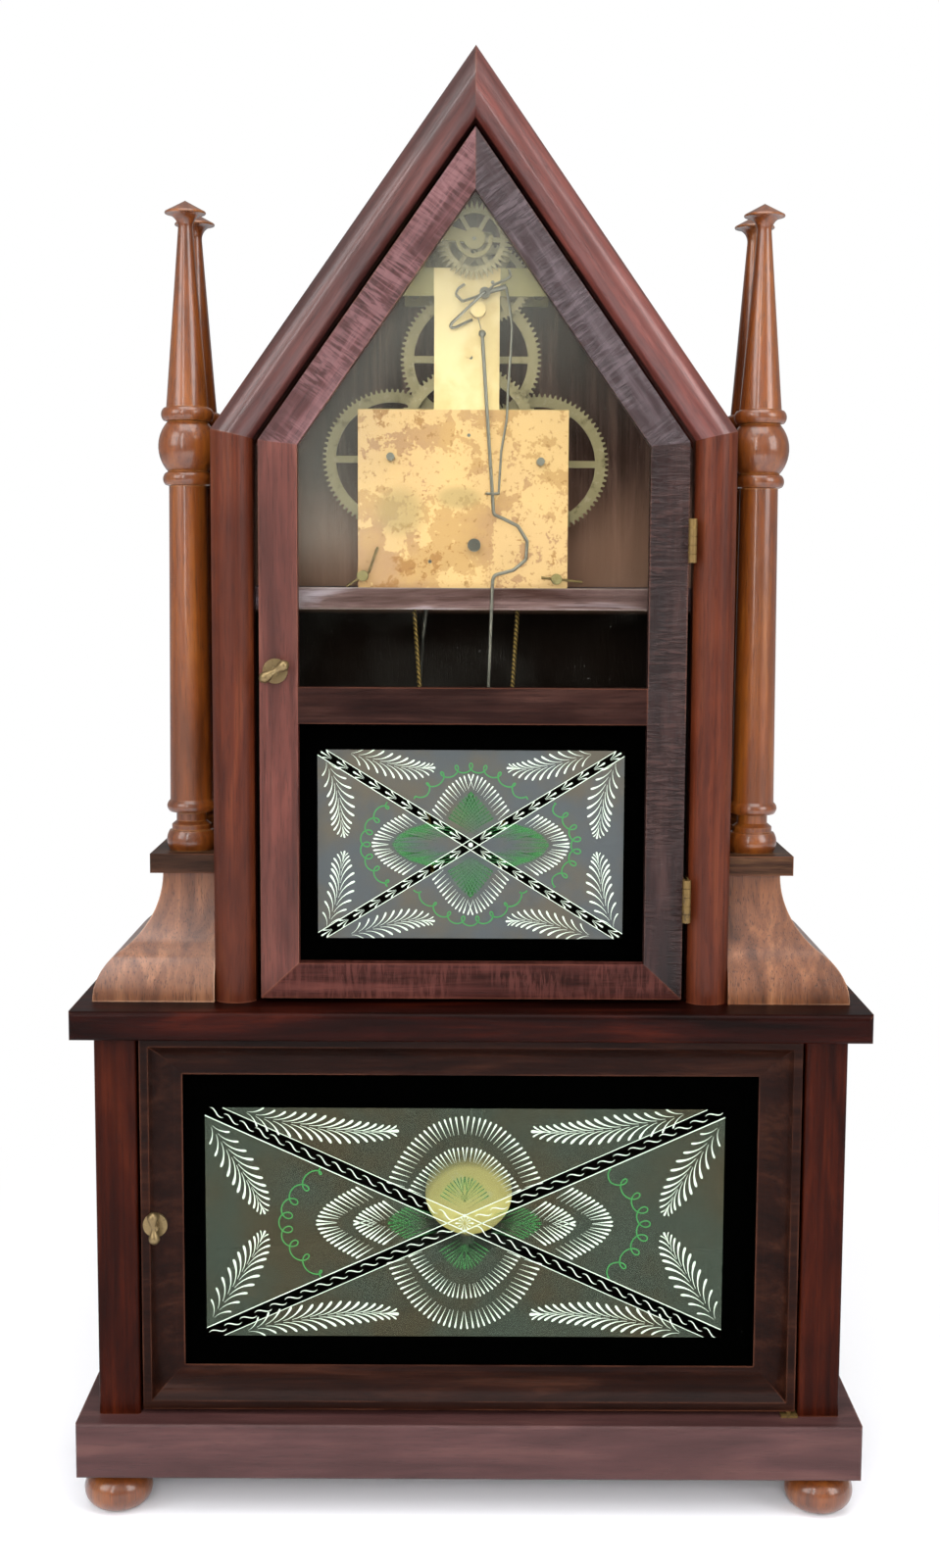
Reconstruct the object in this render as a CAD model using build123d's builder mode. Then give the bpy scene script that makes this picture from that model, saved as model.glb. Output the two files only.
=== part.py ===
from build123d import *
import os
from math import asin, atan, cos, pi, sin, tan

os.makedirs("parts", exist_ok=True)

# A spring-driven shelf clock in a double steeple case: a low case that holds the leaf spring, a tall
# pointed case on top of it that holds the movement, and four turned steeples.
# Millimetres. The clock faces -Y, +Z is up, and the floor is z = 0 under the middle of the clock.

# Whole clock
clock_depth = 126.0
foot_height = 19.5
plinth_overhang = 9.1
plinth_height = 26.0
plinth_setback = 1.6
lower_case_width = 342.2
lower_case_height = 179.2
lower_case_setback = 13.0
shelf_overhang = 8.8
shelf_height = 13.3
upper_case_width = 234.4
seat_height = 188.3
knee_rise = 69.9
upper_case_setback = 19.2
rake_rise = 165.3
board_thickness = 9.0
back_thickness = 8.0
edge_round = 1.5

front_y = -clock_depth / 2
back_y = clock_depth / 2
back_inner_y = back_y - back_thickness
lower_half = lower_case_width / 2
plinth_half = lower_half + plinth_overhang
shelf_half = lower_half + shelf_overhang
plinth_top = foot_height + plinth_height
shelf_bottom = plinth_top + lower_case_height
shelf_top = shelf_bottom + shelf_height
lower_front_y = front_y + lower_case_setback
upper_front_y = front_y + upper_case_setback
upper_half = upper_case_width / 2
seat_top = shelf_top + seat_height
knee_z = seat_top + knee_rise
apex_z = knee_z + rake_rise
rake_angle = atan(upper_half / rake_rise)


def finish(piece, name):
    """Labels a finished piece and writes it."""
    piece.part.label = name
    export_step(piece.part, f"parts/{name}.step")


def front_plane(y):
    """The upright plane at depth y that faces the front, with its own x to the right and y up."""
    return Plane.XZ.offset(-y)


def facing(place, y):
    """The same plane with its origin at a place (x, z) of the front view."""
    return Plane(origin=(place[0], y, place[1]), x_dir=(1, 0, 0), z_dir=(0, -1, 0))


def side_name(side):
    """Left and right as seen from the front."""
    return "right" if side > 0 else "left"


def board(x_range, y_range, z_range, rounding=0):
    """A plain board between three pairs of limits, with its upright and front edges eased."""
    with BuildPart() as piece:
        with BuildSketch(Plane.XY.offset(z_range[0])):
            with Locations(((x_range[0] + x_range[1]) / 2, (y_range[0] + y_range[1]) / 2)):
                Rectangle(abs(x_range[1] - x_range[0]), y_range[1] - y_range[0])
        extrude(amount=z_range[1] - z_range[0])
        if rounding:
            front = piece.faces().sort_by(Axis.Y)[0]
            fillet(front.edges(), radius=rounding)
    return piece


def steeple(half_width, bottom, apex):
    """Outline of a pointed panel whose sloping edges run parallel to the rakes of the case."""
    knee = apex - half_width / tan(rake_angle)
    return [(-half_width, bottom), (half_width, bottom), (half_width, knee), (0, apex), (-half_width, knee)]


def apex_inside(outer_apex, distance):
    """Apex of a steeple line that lies a distance inside another, measured square to the slope."""
    return outer_apex - distance / sin(rake_angle)


# Bun feet: flattened balls turned with a short neck, one under each corner of the plinth
foot_diameter = 31.5
foot_inset = 1.0
foot_outline_shares = [(0.0, 0.0, 0.0), (0.5, 0.0, 0.0), (0.62, 0.9, 0.44), (0.62, 1.0, 0.0)]

foot_half = foot_diameter / 2
foot_x = plinth_half - foot_half - foot_inset
foot_front_y = front_y + plinth_setback + foot_half + foot_inset
foot_back_y = back_y - foot_half - foot_inset


def turned_outline(stations):
    """Half of a turned outline. Each station is (radius, height, swell of the curve that leads to it)."""
    here = stations[0][:2]
    for radius, height, swell in stations[1:]:
        there = (radius, height)
        if swell:
            ThreePointArc(here, ((here[0] + radius) / 2 + swell, (here[1] + height) / 2), there)
        else:
            Line(here, there)
        here = there
    if here[0] > 0:
        Line(here, (0, here[1]))
        here = (0, here[1])
    Line(here, stations[0][:2])


for name, x, y in [
    ("foot_front_left", -foot_x, foot_front_y),
    ("foot_front_right", foot_x, foot_front_y),
    ("foot_back_left", -foot_x, foot_back_y),
    ("foot_back_right", foot_x, foot_back_y),
]:
    with BuildPart() as foot:
        with BuildSketch(Plane(origin=(x, y, 0), x_dir=(1, 0, 0), z_dir=(0, -1, 0))):
            with BuildLine():
                turned_outline(
                    [(r * foot_half, z * foot_height, s * foot_half) for r, z, s in foot_outline_shares]
                )
            make_face()
        revolve(axis=Axis((x, y, 0), (0, 0, 1)))
    finish(foot, name)

# Plinth: a thick board that closes the bottom of the lower case
plinth = board(
    (-plinth_half, plinth_half),
    (front_y + plinth_setback, back_y),
    (foot_height, plinth_top),
    edge_round,
)
finish(plinth, "plinth")

# Lower case: two sides with a front post each, and a back
lower_post_width = 19.1
lower_post_depth = 14.0
lower_post_inner = lower_half - lower_post_width

for side in (-1, 1):
    with BuildPart() as lower_side:
        with BuildSketch(Plane.XY.offset(plinth_top)):
            Polygon(
                (side * lower_half, lower_front_y),
                (side * lower_post_inner, lower_front_y),
                (side * lower_post_inner, lower_front_y + lower_post_depth),
                (side * (lower_half - board_thickness), lower_front_y + lower_post_depth),
                (side * (lower_half - board_thickness), back_inner_y),
                (side * lower_half, back_inner_y),
            )
        extrude(amount=lower_case_height)
        front = lower_side.faces().sort_by(Axis.Y)[0]
        fillet(front.edges().filter_by(Axis.Z), radius=edge_round)
    finish(lower_side, f"lower_side_{side_name(side)}")

lower_back = board((-lower_half, lower_half), (back_inner_y, back_y), (plinth_top, shelf_bottom))
finish(lower_back, "lower_back")

# Shelf between the two cases, with an opening for the pendulum and the chains
shelf_edge_round = 2.5
shelf_opening_width = 124.0
shelf_opening_depth = 58.0
shelf_opening_setback = 39.0

shelf_opening_y = front_y + shelf_opening_setback + shelf_opening_depth / 2

with BuildPart() as shelf:
    with BuildSketch(Plane.XY.offset(shelf_bottom)):
        Rectangle(2 * shelf_half, clock_depth)
        with Locations((0, shelf_opening_y)):
            Rectangle(shelf_opening_width, shelf_opening_depth, mode=Mode.SUBTRACT)
    extrude(amount=shelf_height)
    fillet(shelf.faces().sort_by(Axis.Y)[0].edges(), radius=shelf_edge_round)
finish(shelf, "shelf")

# Ogee blocks: they carry the steeples. The front and the outer side have the same S-shaped moulding,
# which meets in a mitre, and the inner side lies against the upper case.
ogee_overhang = 1.8
ogee_top_width = 25.3
ogee_height = 57.6
ogee_front_setback = 21.4
ogee_front_run = 17.3
ogee_lower_arc_share = 0.38

ogee_bottom_half = lower_half + ogee_overhang
ogee_top_half = upper_half + ogee_top_width
ogee_top = shelf_top + ogee_height
ogee_front_y = front_y + ogee_front_setback


def ogee_curve(start, end):
    """An S of two arcs, upright at both ends: convex from the foot, then hollow to the top."""
    run = abs(end[0] - start[0])
    rise = end[1] - start[1]
    turn = 2 * atan(run / rise)
    toward = 1 if end[0] > start[0] else -1
    radii = (run * run + rise * rise) / (2 * run)
    lower = radii * ogee_lower_arc_share
    upper = radii - lower
    bend = (start[0] + toward * lower * (1 - cos(turn)), start[1] + lower * sin(turn))
    lower_middle = (start[0] + toward * lower * (1 - cos(turn / 2)), start[1] + lower * sin(turn / 2))
    upper_middle = (end[0] - toward * upper * (1 - cos(turn / 2)), end[1] - upper * sin(turn / 2))
    ThreePointArc(start, lower_middle, bend)
    ThreePointArc(bend, upper_middle, end)


for side in (-1, 1):
    with BuildPart() as ogee_block:
        with BuildSketch(front_plane(back_y)):
            with BuildLine():
                ogee_curve((side * ogee_bottom_half, shelf_top), (side * ogee_top_half, ogee_top))
                Line((side * ogee_top_half, ogee_top), (side * upper_half, ogee_top))
                Line((side * upper_half, ogee_top), (side * upper_half, shelf_top))
                Line((side * upper_half, shelf_top), (side * ogee_bottom_half, shelf_top))
            make_face()
        extrude(amount=back_y - front_y)
        with BuildSketch(Plane.YZ):
            with BuildLine():
                ogee_curve((ogee_front_y, shelf_top), (ogee_front_y + ogee_front_run, ogee_top))
                Line((ogee_front_y + ogee_front_run, ogee_top), (back_y, ogee_top))
                Line((back_y, ogee_top), (back_y, shelf_top))
                Line((back_y, shelf_top), (ogee_front_y, shelf_top))
            make_face()
        extrude(amount=ogee_bottom_half, both=True, mode=Mode.INTERSECT)
    finish(ogee_block, f"ogee_block_{side_name(side)}")

# Cap boards on the ogee blocks
cap_overhang = 5.2
cap_thickness = 8.9
cap_top = ogee_top + cap_thickness
cap_front_y = ogee_front_y + ogee_front_run - cap_overhang

for side in (-1, 1):
    x_limits = sorted((side * upper_half, side * (ogee_top_half + cap_overhang)))
    cap = board(x_limits, (cap_front_y, back_y), (ogee_top, cap_top))
    finish(cap, f"cap_board_{side_name(side)}")

# Steeples: four turned columns, each with a ringed ball and a slender spire under a flared disc
column_height = 295.0
column_ball_radius = 13.35
column_offset = 13.6
column_setback = 17.8
column_spacing = 31.0
column_outline_shares = [
    (0.0, 0.0, 0.0),
    (0.76, 0.0, 0.0),
    (0.76, 0.031, 0.1),
    (0.68, 0.032, 0.0),
    (0.68, 0.04, 0.0),
    (0.52, 0.046, 0.0),
    (0.52, 0.059, 0.0),
    (0.75, 0.0605, 0.0),
    (0.75, 0.078, 0.09),
    (0.73, 0.0795, 0.0),
    (0.648, 0.568, 0.0),
    (0.77, 0.57, 0.0),
    (0.77, 0.588, 0.08),
    (0.68, 0.5905, 0.0),
    (0.68, 0.6665, 0.32),
    (0.81, 0.668, 0.0),
    (0.81, 0.687, 0.085),
    (0.715, 0.689, 0.0),
    (0.25, 0.957, 0.0),
    (0.68, 0.98, -0.17),
    (0.7, 0.9815, 0.0),
    (0.68, 0.9835, 0.0),
    (0.0, 1.0, 0.0),
]

column_x = upper_half + column_offset
column_front_y = cap_front_y + column_setback

for place, y in (("front", column_front_y), ("back", column_front_y + column_spacing)):
    for side in (-1, 1):
        x = side * column_x
        with BuildPart() as column:
            with BuildSketch(Plane(origin=(x, y, cap_top), x_dir=(1, 0, 0), z_dir=(0, -1, 0))):
                with BuildLine():
                    turned_outline(
                        [
                            (r * column_ball_radius, z * column_height, s * column_ball_radius)
                            for r, z, s in column_outline_shares
                        ]
                    )
                make_face()
            revolve(axis=Axis((x, y, 0), (0, 0, 1)))
        finish(column, f"steeple_{place}_{side_name(side)}")

# Upper case: sides, roof boards and a back, behind a heavy half-round moulding on the front
post_width = 18.7
rake_width = 17.6
moulding_depth = 17.0
moulding_crown = 6.0
moulding_back_y = upper_front_y + moulding_depth
post_inner = upper_half - post_width
rake_inner_apex = apex_inside(apex_z, rake_width)
post_joint_inner_z = rake_inner_apex - post_inner / tan(rake_angle)
wall_inner = upper_half - board_thickness
wall_inner_apex = apex_inside(apex_z, board_thickness)
wall_inner_knee = wall_inner_apex - wall_inner / tan(rake_angle)

upper_back_points = steeple(upper_half, shelf_top, apex_z)
with BuildPart() as upper_back:
    with BuildSketch(front_plane(back_inner_y)):
        Polygon(*upper_back_points)
    extrude(amount=-back_thickness)
finish(upper_back, "upper_back")

for side in (-1, 1):
    knee = (side * upper_half, knee_z)
    inner_knee = (side * wall_inner, wall_inner_knee)
    with BuildPart() as upper_side:
        with BuildSketch(front_plane(moulding_back_y)):
            Polygon(knee, inner_knee, (side * wall_inner, shelf_top), (side * upper_half, shelf_top))
        extrude(amount=moulding_back_y - back_inner_y)
    finish(upper_side, f"upper_side_{side_name(side)}")

    with BuildPart() as roof_board:
        with BuildSketch(front_plane(moulding_back_y)):
            Polygon(knee, (0, apex_z), (0, wall_inner_apex), inner_knee)
        extrude(amount=moulding_back_y - back_inner_y)
    finish(roof_board, f"roof_board_{side_name(side)}")

    post_region = [
        (side * upper_half, shelf_top),
        (side * post_inner, shelf_top),
        (side * post_inner, post_joint_inner_z),
        knee,
    ]
    with BuildPart() as post:
        with BuildSketch(Plane.XY.offset(shelf_top)):
            with BuildLine():
                outer = side * upper_half
                inner = side * post_inner
                edge_y = upper_front_y + moulding_crown
                ThreePointArc(
                    (outer, edge_y), ((outer + inner) / 2, upper_front_y), (inner, edge_y)
                )
                Line((inner, edge_y), (inner, moulding_back_y))
                Line((inner, moulding_back_y), (outer, moulding_back_y))
                Line((outer, moulding_back_y), (outer, edge_y))
            make_face()
        extrude(amount=knee_z - shelf_top)
        with BuildSketch(front_plane(moulding_back_y)):
            Polygon(*post_region)
        extrude(amount=moulding_depth, mode=Mode.INTERSECT)
    finish(post, f"upper_post_{side_name(side)}")

    rake_region = [knee, (0, apex_z), (0, rake_inner_apex), (side * post_inner, post_joint_inner_z)]
    rake_length = upper_half / sin(rake_angle)
    along = Vector(-side * sin(rake_angle), 0, cos(rake_angle))
    inward = Vector(-side * cos(rake_angle), 0, -sin(rake_angle))
    rake_start = Vector(side * upper_half, 0, knee_z) - along * rake_width
    with BuildPart() as rake:
        with BuildSketch(Plane(origin=rake_start, x_dir=inward, z_dir=along)):
            # Local y points to the front of the right rake and to the back of the left one
            front = -upper_front_y * side
            shoulder = -(upper_front_y + moulding_crown) * side
            rear = -moulding_back_y * side
            with BuildLine():
                ThreePointArc((0, shoulder), (rake_width / 2, front), (rake_width, shoulder))
                Line((rake_width, shoulder), (rake_width, rear))
                Line((rake_width, rear), (0, rear))
                Line((0, rear), (0, shoulder))
            make_face()
        extrude(amount=rake_length + 2 * rake_width)
        with BuildSketch(front_plane(moulding_back_y)):
            Polygon(*rake_region)
        extrude(amount=moulding_depth, mode=Mode.INTERSECT)
    finish(rake, f"rake_moulding_{side_name(side)}")

# Upper door: two stiles, two sloping rails, a bottom rail and a middle rail, with one pane above
# the middle rail and a painted tablet below it
door_gap = 2.8
door_bottom_gap = 2.2
door_setback = 1.8
door_thickness = 16.0
door_sight_depth = 7.0
door_stile_width = 17.3
door_rake_width = 15.2
door_bottom_rail = 16.2
tablet_light_height = 109.2
door_middle_rail = 16.5
rabbet = 4.0
glass_thickness = 2.0
pane_clearance = 0.3

door_front_y = upper_front_y + door_setback
door_back_y = door_front_y + door_thickness
door_glass_y = door_front_y + door_sight_depth
door_half = post_inner - door_gap
door_apex = apex_inside(rake_inner_apex, door_gap)
door_bottom = shelf_top + door_bottom_gap
door_knee = door_apex - door_half / tan(rake_angle)
light_half = door_half - door_stile_width
light_apex = apex_inside(door_apex, door_rake_width)
light_knee = light_apex - light_half / tan(rake_angle)
tablet_light_bottom = door_bottom + door_bottom_rail
tablet_light_top = tablet_light_bottom + tablet_light_height
upper_light_bottom = tablet_light_top + door_middle_rail


def rectangle_points(half_width, bottom, top):
    """Corners of an upright rectangle centred on x = 0."""
    return [(-half_width, bottom), (half_width, bottom), (half_width, top), (-half_width, top)]


def door_piece(region):
    """One rail or stile: the part of the rabbeted door frame that lies inside a region."""
    with BuildPart() as piece:
        with BuildSketch(front_plane(door_front_y)):
            Polygon(*steeple(door_half, door_bottom, door_apex))
            Polygon(*steeple(light_half, upper_light_bottom, light_apex), mode=Mode.SUBTRACT)
            Polygon(*rectangle_points(light_half, tablet_light_bottom, tablet_light_top), mode=Mode.SUBTRACT)
        extrude(amount=-door_sight_depth)
        with BuildSketch(front_plane(door_glass_y)):
            Polygon(*steeple(door_half, door_bottom, door_apex))
            Polygon(
                *steeple(
                    light_half + rabbet, upper_light_bottom - rabbet, apex_inside(light_apex, -rabbet)
                ),
                mode=Mode.SUBTRACT,
            )
            Polygon(
                *rectangle_points(
                    light_half + rabbet, tablet_light_bottom - rabbet, tablet_light_top + rabbet
                ),
                mode=Mode.SUBTRACT,
            )
        extrude(amount=door_sight_depth - door_thickness)
        with BuildSketch(front_plane(door_front_y)):
            Polygon(*region)
        extrude(amount=-door_thickness, mode=Mode.INTERSECT)
    return piece


# Turn-knobs: a round plate, a shank through the stile, a bow-tie handle and a catch behind the stile
knob_plate_radius = 5.6
knob_plate_thickness = 1.5
knob_shank_radius = 2.0
knob_fit = 0.08
knob_seat = 0.3
knob_stand = 6.0
knob_handle_length = 15.0
knob_bulb_radius = 2.6
knob_end_radius = 0.8
knob_waist_radius = 1.2
catch_length = 13.0
catch_width = 4.0
catch_thickness = 2.0
upper_knob_inset = 7.3
upper_knob_height = 149.1
lower_knob_inset = 6.7
lower_knob_rise = 0.8

upper_knob_place = (upper_knob_inset - door_half, door_bottom + upper_knob_height)

for side in (-1, 1):
    stile_region = [
        (side * door_half, door_bottom),
        (side * light_half, tablet_light_bottom),
        (side * light_half, light_knee),
        (side * door_half, door_knee),
    ]
    stile = door_piece(stile_region)
    if side < 0:
        with BuildPart() as bored_stile:
            add(stile.part)
            with BuildSketch(facing(upper_knob_place, door_front_y)):
                Circle(knob_shank_radius + knob_fit)
            extrude(amount=-door_thickness, mode=Mode.SUBTRACT)
        stile = bored_stile
    finish(stile, f"upper_door_stile_{side_name(side)}")
    rail_region = [
        (side * door_half, door_knee),
        (side * light_half, light_knee),
        (0, light_apex),
        (0, door_apex),
    ]
    finish(door_piece(rail_region), f"upper_door_rake_{side_name(side)}")

bottom_rail_region = [
    (-door_half, door_bottom),
    (door_half, door_bottom),
    (light_half, tablet_light_bottom),
    (-light_half, tablet_light_bottom),
]
finish(door_piece(bottom_rail_region), "upper_door_bottom_rail")
middle_rail_region = rectangle_points(light_half, tablet_light_top, upper_light_bottom)
finish(door_piece(middle_rail_region), "upper_door_middle_rail")

pane_half = light_half + rabbet - pane_clearance
with BuildPart() as upper_pane:
    with BuildSketch(front_plane(door_glass_y)):
        Polygon(
            *steeple(
                pane_half,
                upper_light_bottom - rabbet + pane_clearance,
                apex_inside(light_apex, pane_clearance - rabbet),
            )
        )
    extrude(amount=-glass_thickness)
finish(upper_pane, "upper_pane")

with BuildPart() as upper_tablet:
    with BuildSketch(front_plane(door_glass_y)):
        Polygon(
            *rectangle_points(
                pane_half,
                tablet_light_bottom - rabbet + pane_clearance,
                tablet_light_top + rabbet - pane_clearance,
            )
        )
    extrude(amount=-glass_thickness)
finish(upper_tablet, "upper_tablet")

# Lower door: a mitred frame with a hollow moulding that falls to the painted tablet
lower_door_side_gap = 1.4
lower_door_gap = 2.5
lower_door_top_gap = 1.7
lower_door_thickness = 16.0
lower_door_frame = 18.5
lower_door_band = 4.0
lower_sight_depth = 8.0
cove_sag = 1.8

lower_door_half = lower_post_inner - lower_door_side_gap
lower_door_bottom = plinth_top + lower_door_gap
lower_door_top = shelf_bottom - lower_door_top_gap
lower_door_back_y = lower_front_y + lower_door_thickness
lower_glass_y = lower_front_y + lower_sight_depth
lower_light_half = lower_door_half - lower_door_frame
lower_light_bottom = lower_door_bottom + lower_door_frame
lower_light_top = lower_door_top - lower_door_frame
hinge_pin_radius = 1.3
hinge_pin_fit = 0.08
hinge_pin_inset = 2.5
hinge_pin_depth = 6.0
lower_hinge_x = lower_door_half - hinge_pin_inset
lower_hinge_y = lower_front_y + hinge_pin_inset
lower_door_middle = (lower_door_bottom + lower_door_top) / 2
lower_knob_place = (lower_knob_inset - lower_door_half, lower_door_middle + lower_knob_rise)

with BuildPart() as lower_door_frame_piece:
    with BuildLine() as frame_path:
        Polyline(
            (0, lower_front_y, lower_door_bottom),
            (lower_door_half, lower_front_y, lower_door_bottom),
            (lower_door_half, lower_front_y, lower_door_top),
            (-lower_door_half, lower_front_y, lower_door_top),
            (-lower_door_half, lower_front_y, lower_door_bottom),
            (0, lower_front_y, lower_door_bottom),
        )
    with BuildSketch(Plane(origin=(0, lower_front_y, lower_door_bottom), x_dir=(0, 0, 1), z_dir=(1, 0, 0))):
        # Local x runs in from the outer edge and local y runs from the front to the back, negated
        with BuildLine():
            Line((0, 0), (lower_door_band, 0))
            ThreePointArc(
                (lower_door_band, 0),
                (
                    (lower_door_band + lower_door_frame) / 2 - cove_sag / 2,
                    -(lower_sight_depth / 2 + cove_sag),
                ),
                (lower_door_frame, -lower_sight_depth + pane_clearance),
            )
            Line(
                (lower_door_frame, -lower_sight_depth + pane_clearance),
                (lower_door_frame, -lower_sight_depth),
            )
            Line((lower_door_frame, -lower_sight_depth), (lower_door_frame - rabbet, -lower_sight_depth))
            Line(
                (lower_door_frame - rabbet, -lower_sight_depth),
                (lower_door_frame - rabbet, -lower_door_thickness),
            )
            Line((lower_door_frame - rabbet, -lower_door_thickness), (0, -lower_door_thickness))
            Line((0, -lower_door_thickness), (0, 0))
        make_face()
    sweep(path=frame_path.line, transition=Transition.RIGHT)
    with BuildSketch(facing(lower_knob_place, lower_front_y)):
        Circle(knob_shank_radius + knob_fit)
    extrude(amount=-lower_door_thickness, mode=Mode.SUBTRACT)
    for hole_start in (lower_door_bottom, lower_door_top - hinge_pin_depth):
        with BuildSketch(Plane.XY.offset(hole_start)):
            with Locations((lower_hinge_x, lower_hinge_y)):
                Circle(hinge_pin_radius + hinge_pin_fit)
        extrude(amount=hinge_pin_depth, mode=Mode.SUBTRACT)
finish(lower_door_frame_piece, "lower_door_frame")

with BuildPart() as lower_tablet:
    with BuildSketch(front_plane(lower_glass_y)):
        Polygon(
            *rectangle_points(
                lower_light_half + rabbet - pane_clearance,
                lower_light_bottom - rabbet + pane_clearance,
                lower_light_top + rabbet - pane_clearance,
            )
        )
    extrude(amount=-glass_thickness)
finish(lower_tablet, "lower_tablet")


def turn_knob(place, face_y, back_y_of_door, handle_angle, catch_angle):
    """A turn-knob at a place of the front view, with its handle and catch at their own angles."""
    catch_start = back_y_of_door + knob_seat
    handle_y = face_y - knob_seat - knob_stand
    half = knob_handle_length / 2
    with BuildPart() as knob:
        with BuildSketch(facing(place, face_y - knob_seat)):
            Circle(knob_plate_radius)
        extrude(amount=knob_plate_thickness)
        with BuildSketch(facing(place, catch_start + catch_thickness)):
            Circle(knob_shank_radius)
        extrude(amount=catch_start + catch_thickness - handle_y + knob_waist_radius / 2)
        handle_dir = Vector(cos(handle_angle), 0, sin(handle_angle))
        handle_middle = Vector(place[0], handle_y, place[1])
        with BuildSketch(
            Plane(origin=handle_middle, x_dir=handle_dir, z_dir=handle_dir.cross(Vector(0, -1, 0)))
        ):
            with BuildLine():
                bow_tie = Spline(
                    (-half, knob_end_radius),
                    (-half + knob_bulb_radius, knob_bulb_radius),
                    (0, knob_waist_radius),
                    (half - knob_bulb_radius, knob_bulb_radius),
                    (half, knob_end_radius),
                )
                Polyline(bow_tie @ 1, (half, 0), (-half, 0), bow_tie @ 0)
            make_face()
        revolve(axis=Axis(handle_middle, handle_dir))
        catch_dir = (cos(catch_angle), 0, sin(catch_angle))
        with BuildSketch(
            Plane(origin=(place[0], catch_start, place[1]), x_dir=catch_dir, z_dir=(0, -1, 0))
        ):
            with Locations(((catch_length - catch_width / 2) / 2, 0)):
                Rectangle(catch_length + catch_width / 2, catch_width)
        extrude(amount=-catch_thickness)
    return knob


upper_handle_angle = pi * 32 / 180
upper_catch_angle = pi * 115 / 180
lower_handle_angle = pi * 93 / 180
lower_catch_angle = -pi / 2
finish(
    turn_knob(upper_knob_place, door_front_y, door_back_y, upper_handle_angle, upper_catch_angle),
    "upper_turn_knob",
)
finish(
    turn_knob(lower_knob_place, lower_front_y, lower_door_back_y, lower_handle_angle, lower_catch_angle),
    "lower_turn_knob",
)

# Brass butt hinges of the upper door, of five knuckles, and the pins on which the lower door swings
hinge_length = 19.6
hinge_heights = [45.8, 207.8]
knuckle_radius = 1.9
knuckle_gap = 0.2
knuckle_count = 5
hinge_bore_fit = 0.06
hinge_rod_radius = 0.9
leaf_thickness = 0.8
leaf_depth = 12.0
hinge_stand = 0.6
pin_plate_width = 7.6
pin_plate_depth = 8.0
pin_plate_thickness = 1.0
leaf_seat = 0.05

hinge_places_z = [door_bottom + height for height in hinge_heights]
upper_hinge_x = (door_half + post_inner) / 2
upper_hinge_y = door_front_y - knuckle_radius - hinge_stand
knuckle_pitch = hinge_length / knuckle_count


def hinge_half(middle_z, knuckles, leaf_x):
    """One leaf of a butt hinge with the knuckles that belong to it."""
    leaf_front_y = upper_hinge_y + knuckle_radius + knuckle_gap
    with Locations((leaf_x, leaf_front_y + leaf_depth / 2, middle_z)):
        Box(leaf_thickness, leaf_depth, hinge_length)
    for knuckle in knuckles:
        z = middle_z - hinge_length / 2 + (knuckle + 1 / 2) * knuckle_pitch
        with Locations((upper_hinge_x, upper_hinge_y, z)):
            Cylinder(knuckle_radius, knuckle_pitch - knuckle_gap)
        with Locations((leaf_x, (upper_hinge_y + leaf_front_y) / 2, z)):
            Box(leaf_thickness, leaf_front_y - upper_hinge_y, knuckle_pitch - knuckle_gap)


with BuildPart() as case_hinges:
    for middle_z in hinge_places_z:
        hinge_half(middle_z, (0, 2, 4), post_inner - leaf_seat - leaf_thickness / 2)
        with Locations((upper_hinge_x, upper_hinge_y, middle_z)):
            Cylinder(hinge_rod_radius, hinge_length - knuckle_gap)
    for plate_z, pin_end in (
        (plinth_top, lower_door_bottom + hinge_pin_depth - knob_seat),
        (shelf_bottom, lower_door_top - hinge_pin_depth + knob_seat),
    ):
        up = 1 if pin_end > plate_z else -1
        with BuildSketch(Plane.XY.offset(plate_z)):
            with Locations((lower_hinge_x, lower_hinge_y)):
                Rectangle(pin_plate_width, pin_plate_depth)
        extrude(amount=up * pin_plate_thickness)
        with BuildSketch(Plane.XY.offset(plate_z)):
            with Locations((lower_hinge_x, lower_hinge_y)):
                Circle(hinge_pin_radius)
        extrude(amount=pin_end - plate_z)
finish(case_hinges, "case_hinges")

with BuildPart() as door_hinges:
    for middle_z in hinge_places_z:
        hinge_half(middle_z, (1, 3), door_half + leaf_seat + leaf_thickness / 2)
        with Locations((upper_hinge_x, upper_hinge_y, middle_z)):
            Cylinder(hinge_rod_radius + hinge_bore_fit, hinge_length, mode=Mode.SUBTRACT)
finish(door_hinges, "upper_door_hinges")

# Seat board that carries the movement, with slots for the two chains and the hammer
seat_thickness = 10.0
seat_overhang = 3.4
seat_slot_width = 15.0
seat_slot_depth = 28.0
seat_slot_setback = 21.0
seat_slot_places_x = [-26.5, 21.5]
movement_setback = 35.2

movement_front_y = upper_front_y + movement_setback
seat_front_y = movement_front_y - seat_overhang

with BuildPart() as seat_board:
    with BuildSketch(Plane.XY.offset(seat_top - seat_thickness)):
        with Locations((0, (seat_front_y + back_inner_y) / 2)):
            Rectangle(2 * wall_inner, back_inner_y - seat_front_y)
        for x in seat_slot_places_x:
            with Locations((x, seat_front_y + seat_slot_setback + seat_slot_depth / 2)):
                Rectangle(seat_slot_width, seat_slot_depth, mode=Mode.SUBTRACT)
    extrude(amount=seat_thickness)
finish(seat_board, "seat_board")

# Going train: every wheel drives the small pinion of the next arbor. The places of the arbors
# follow from the tooth counts and from the direction in which each one lies from the last.
plate_thickness = 1.2
plate_gap = 35.4
wheel_teeth = 80
pinion_leaves = 8
fourth_wheel_teeth = 48
hand_wheel_teeth = 42
escape_teeth = 42
train_module = 0.7955
fourth_module = 0.698
great_wheel_x = 30.5
great_wheel_height = 57.5
strike_wheel_x = -38.0
strike_wheel_height = 59.4
second_direction = 159.6
third_direction = 88.7
fourth_direction = 73.9
escape_direction = 115.8
hand_direction = 231.5

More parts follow.
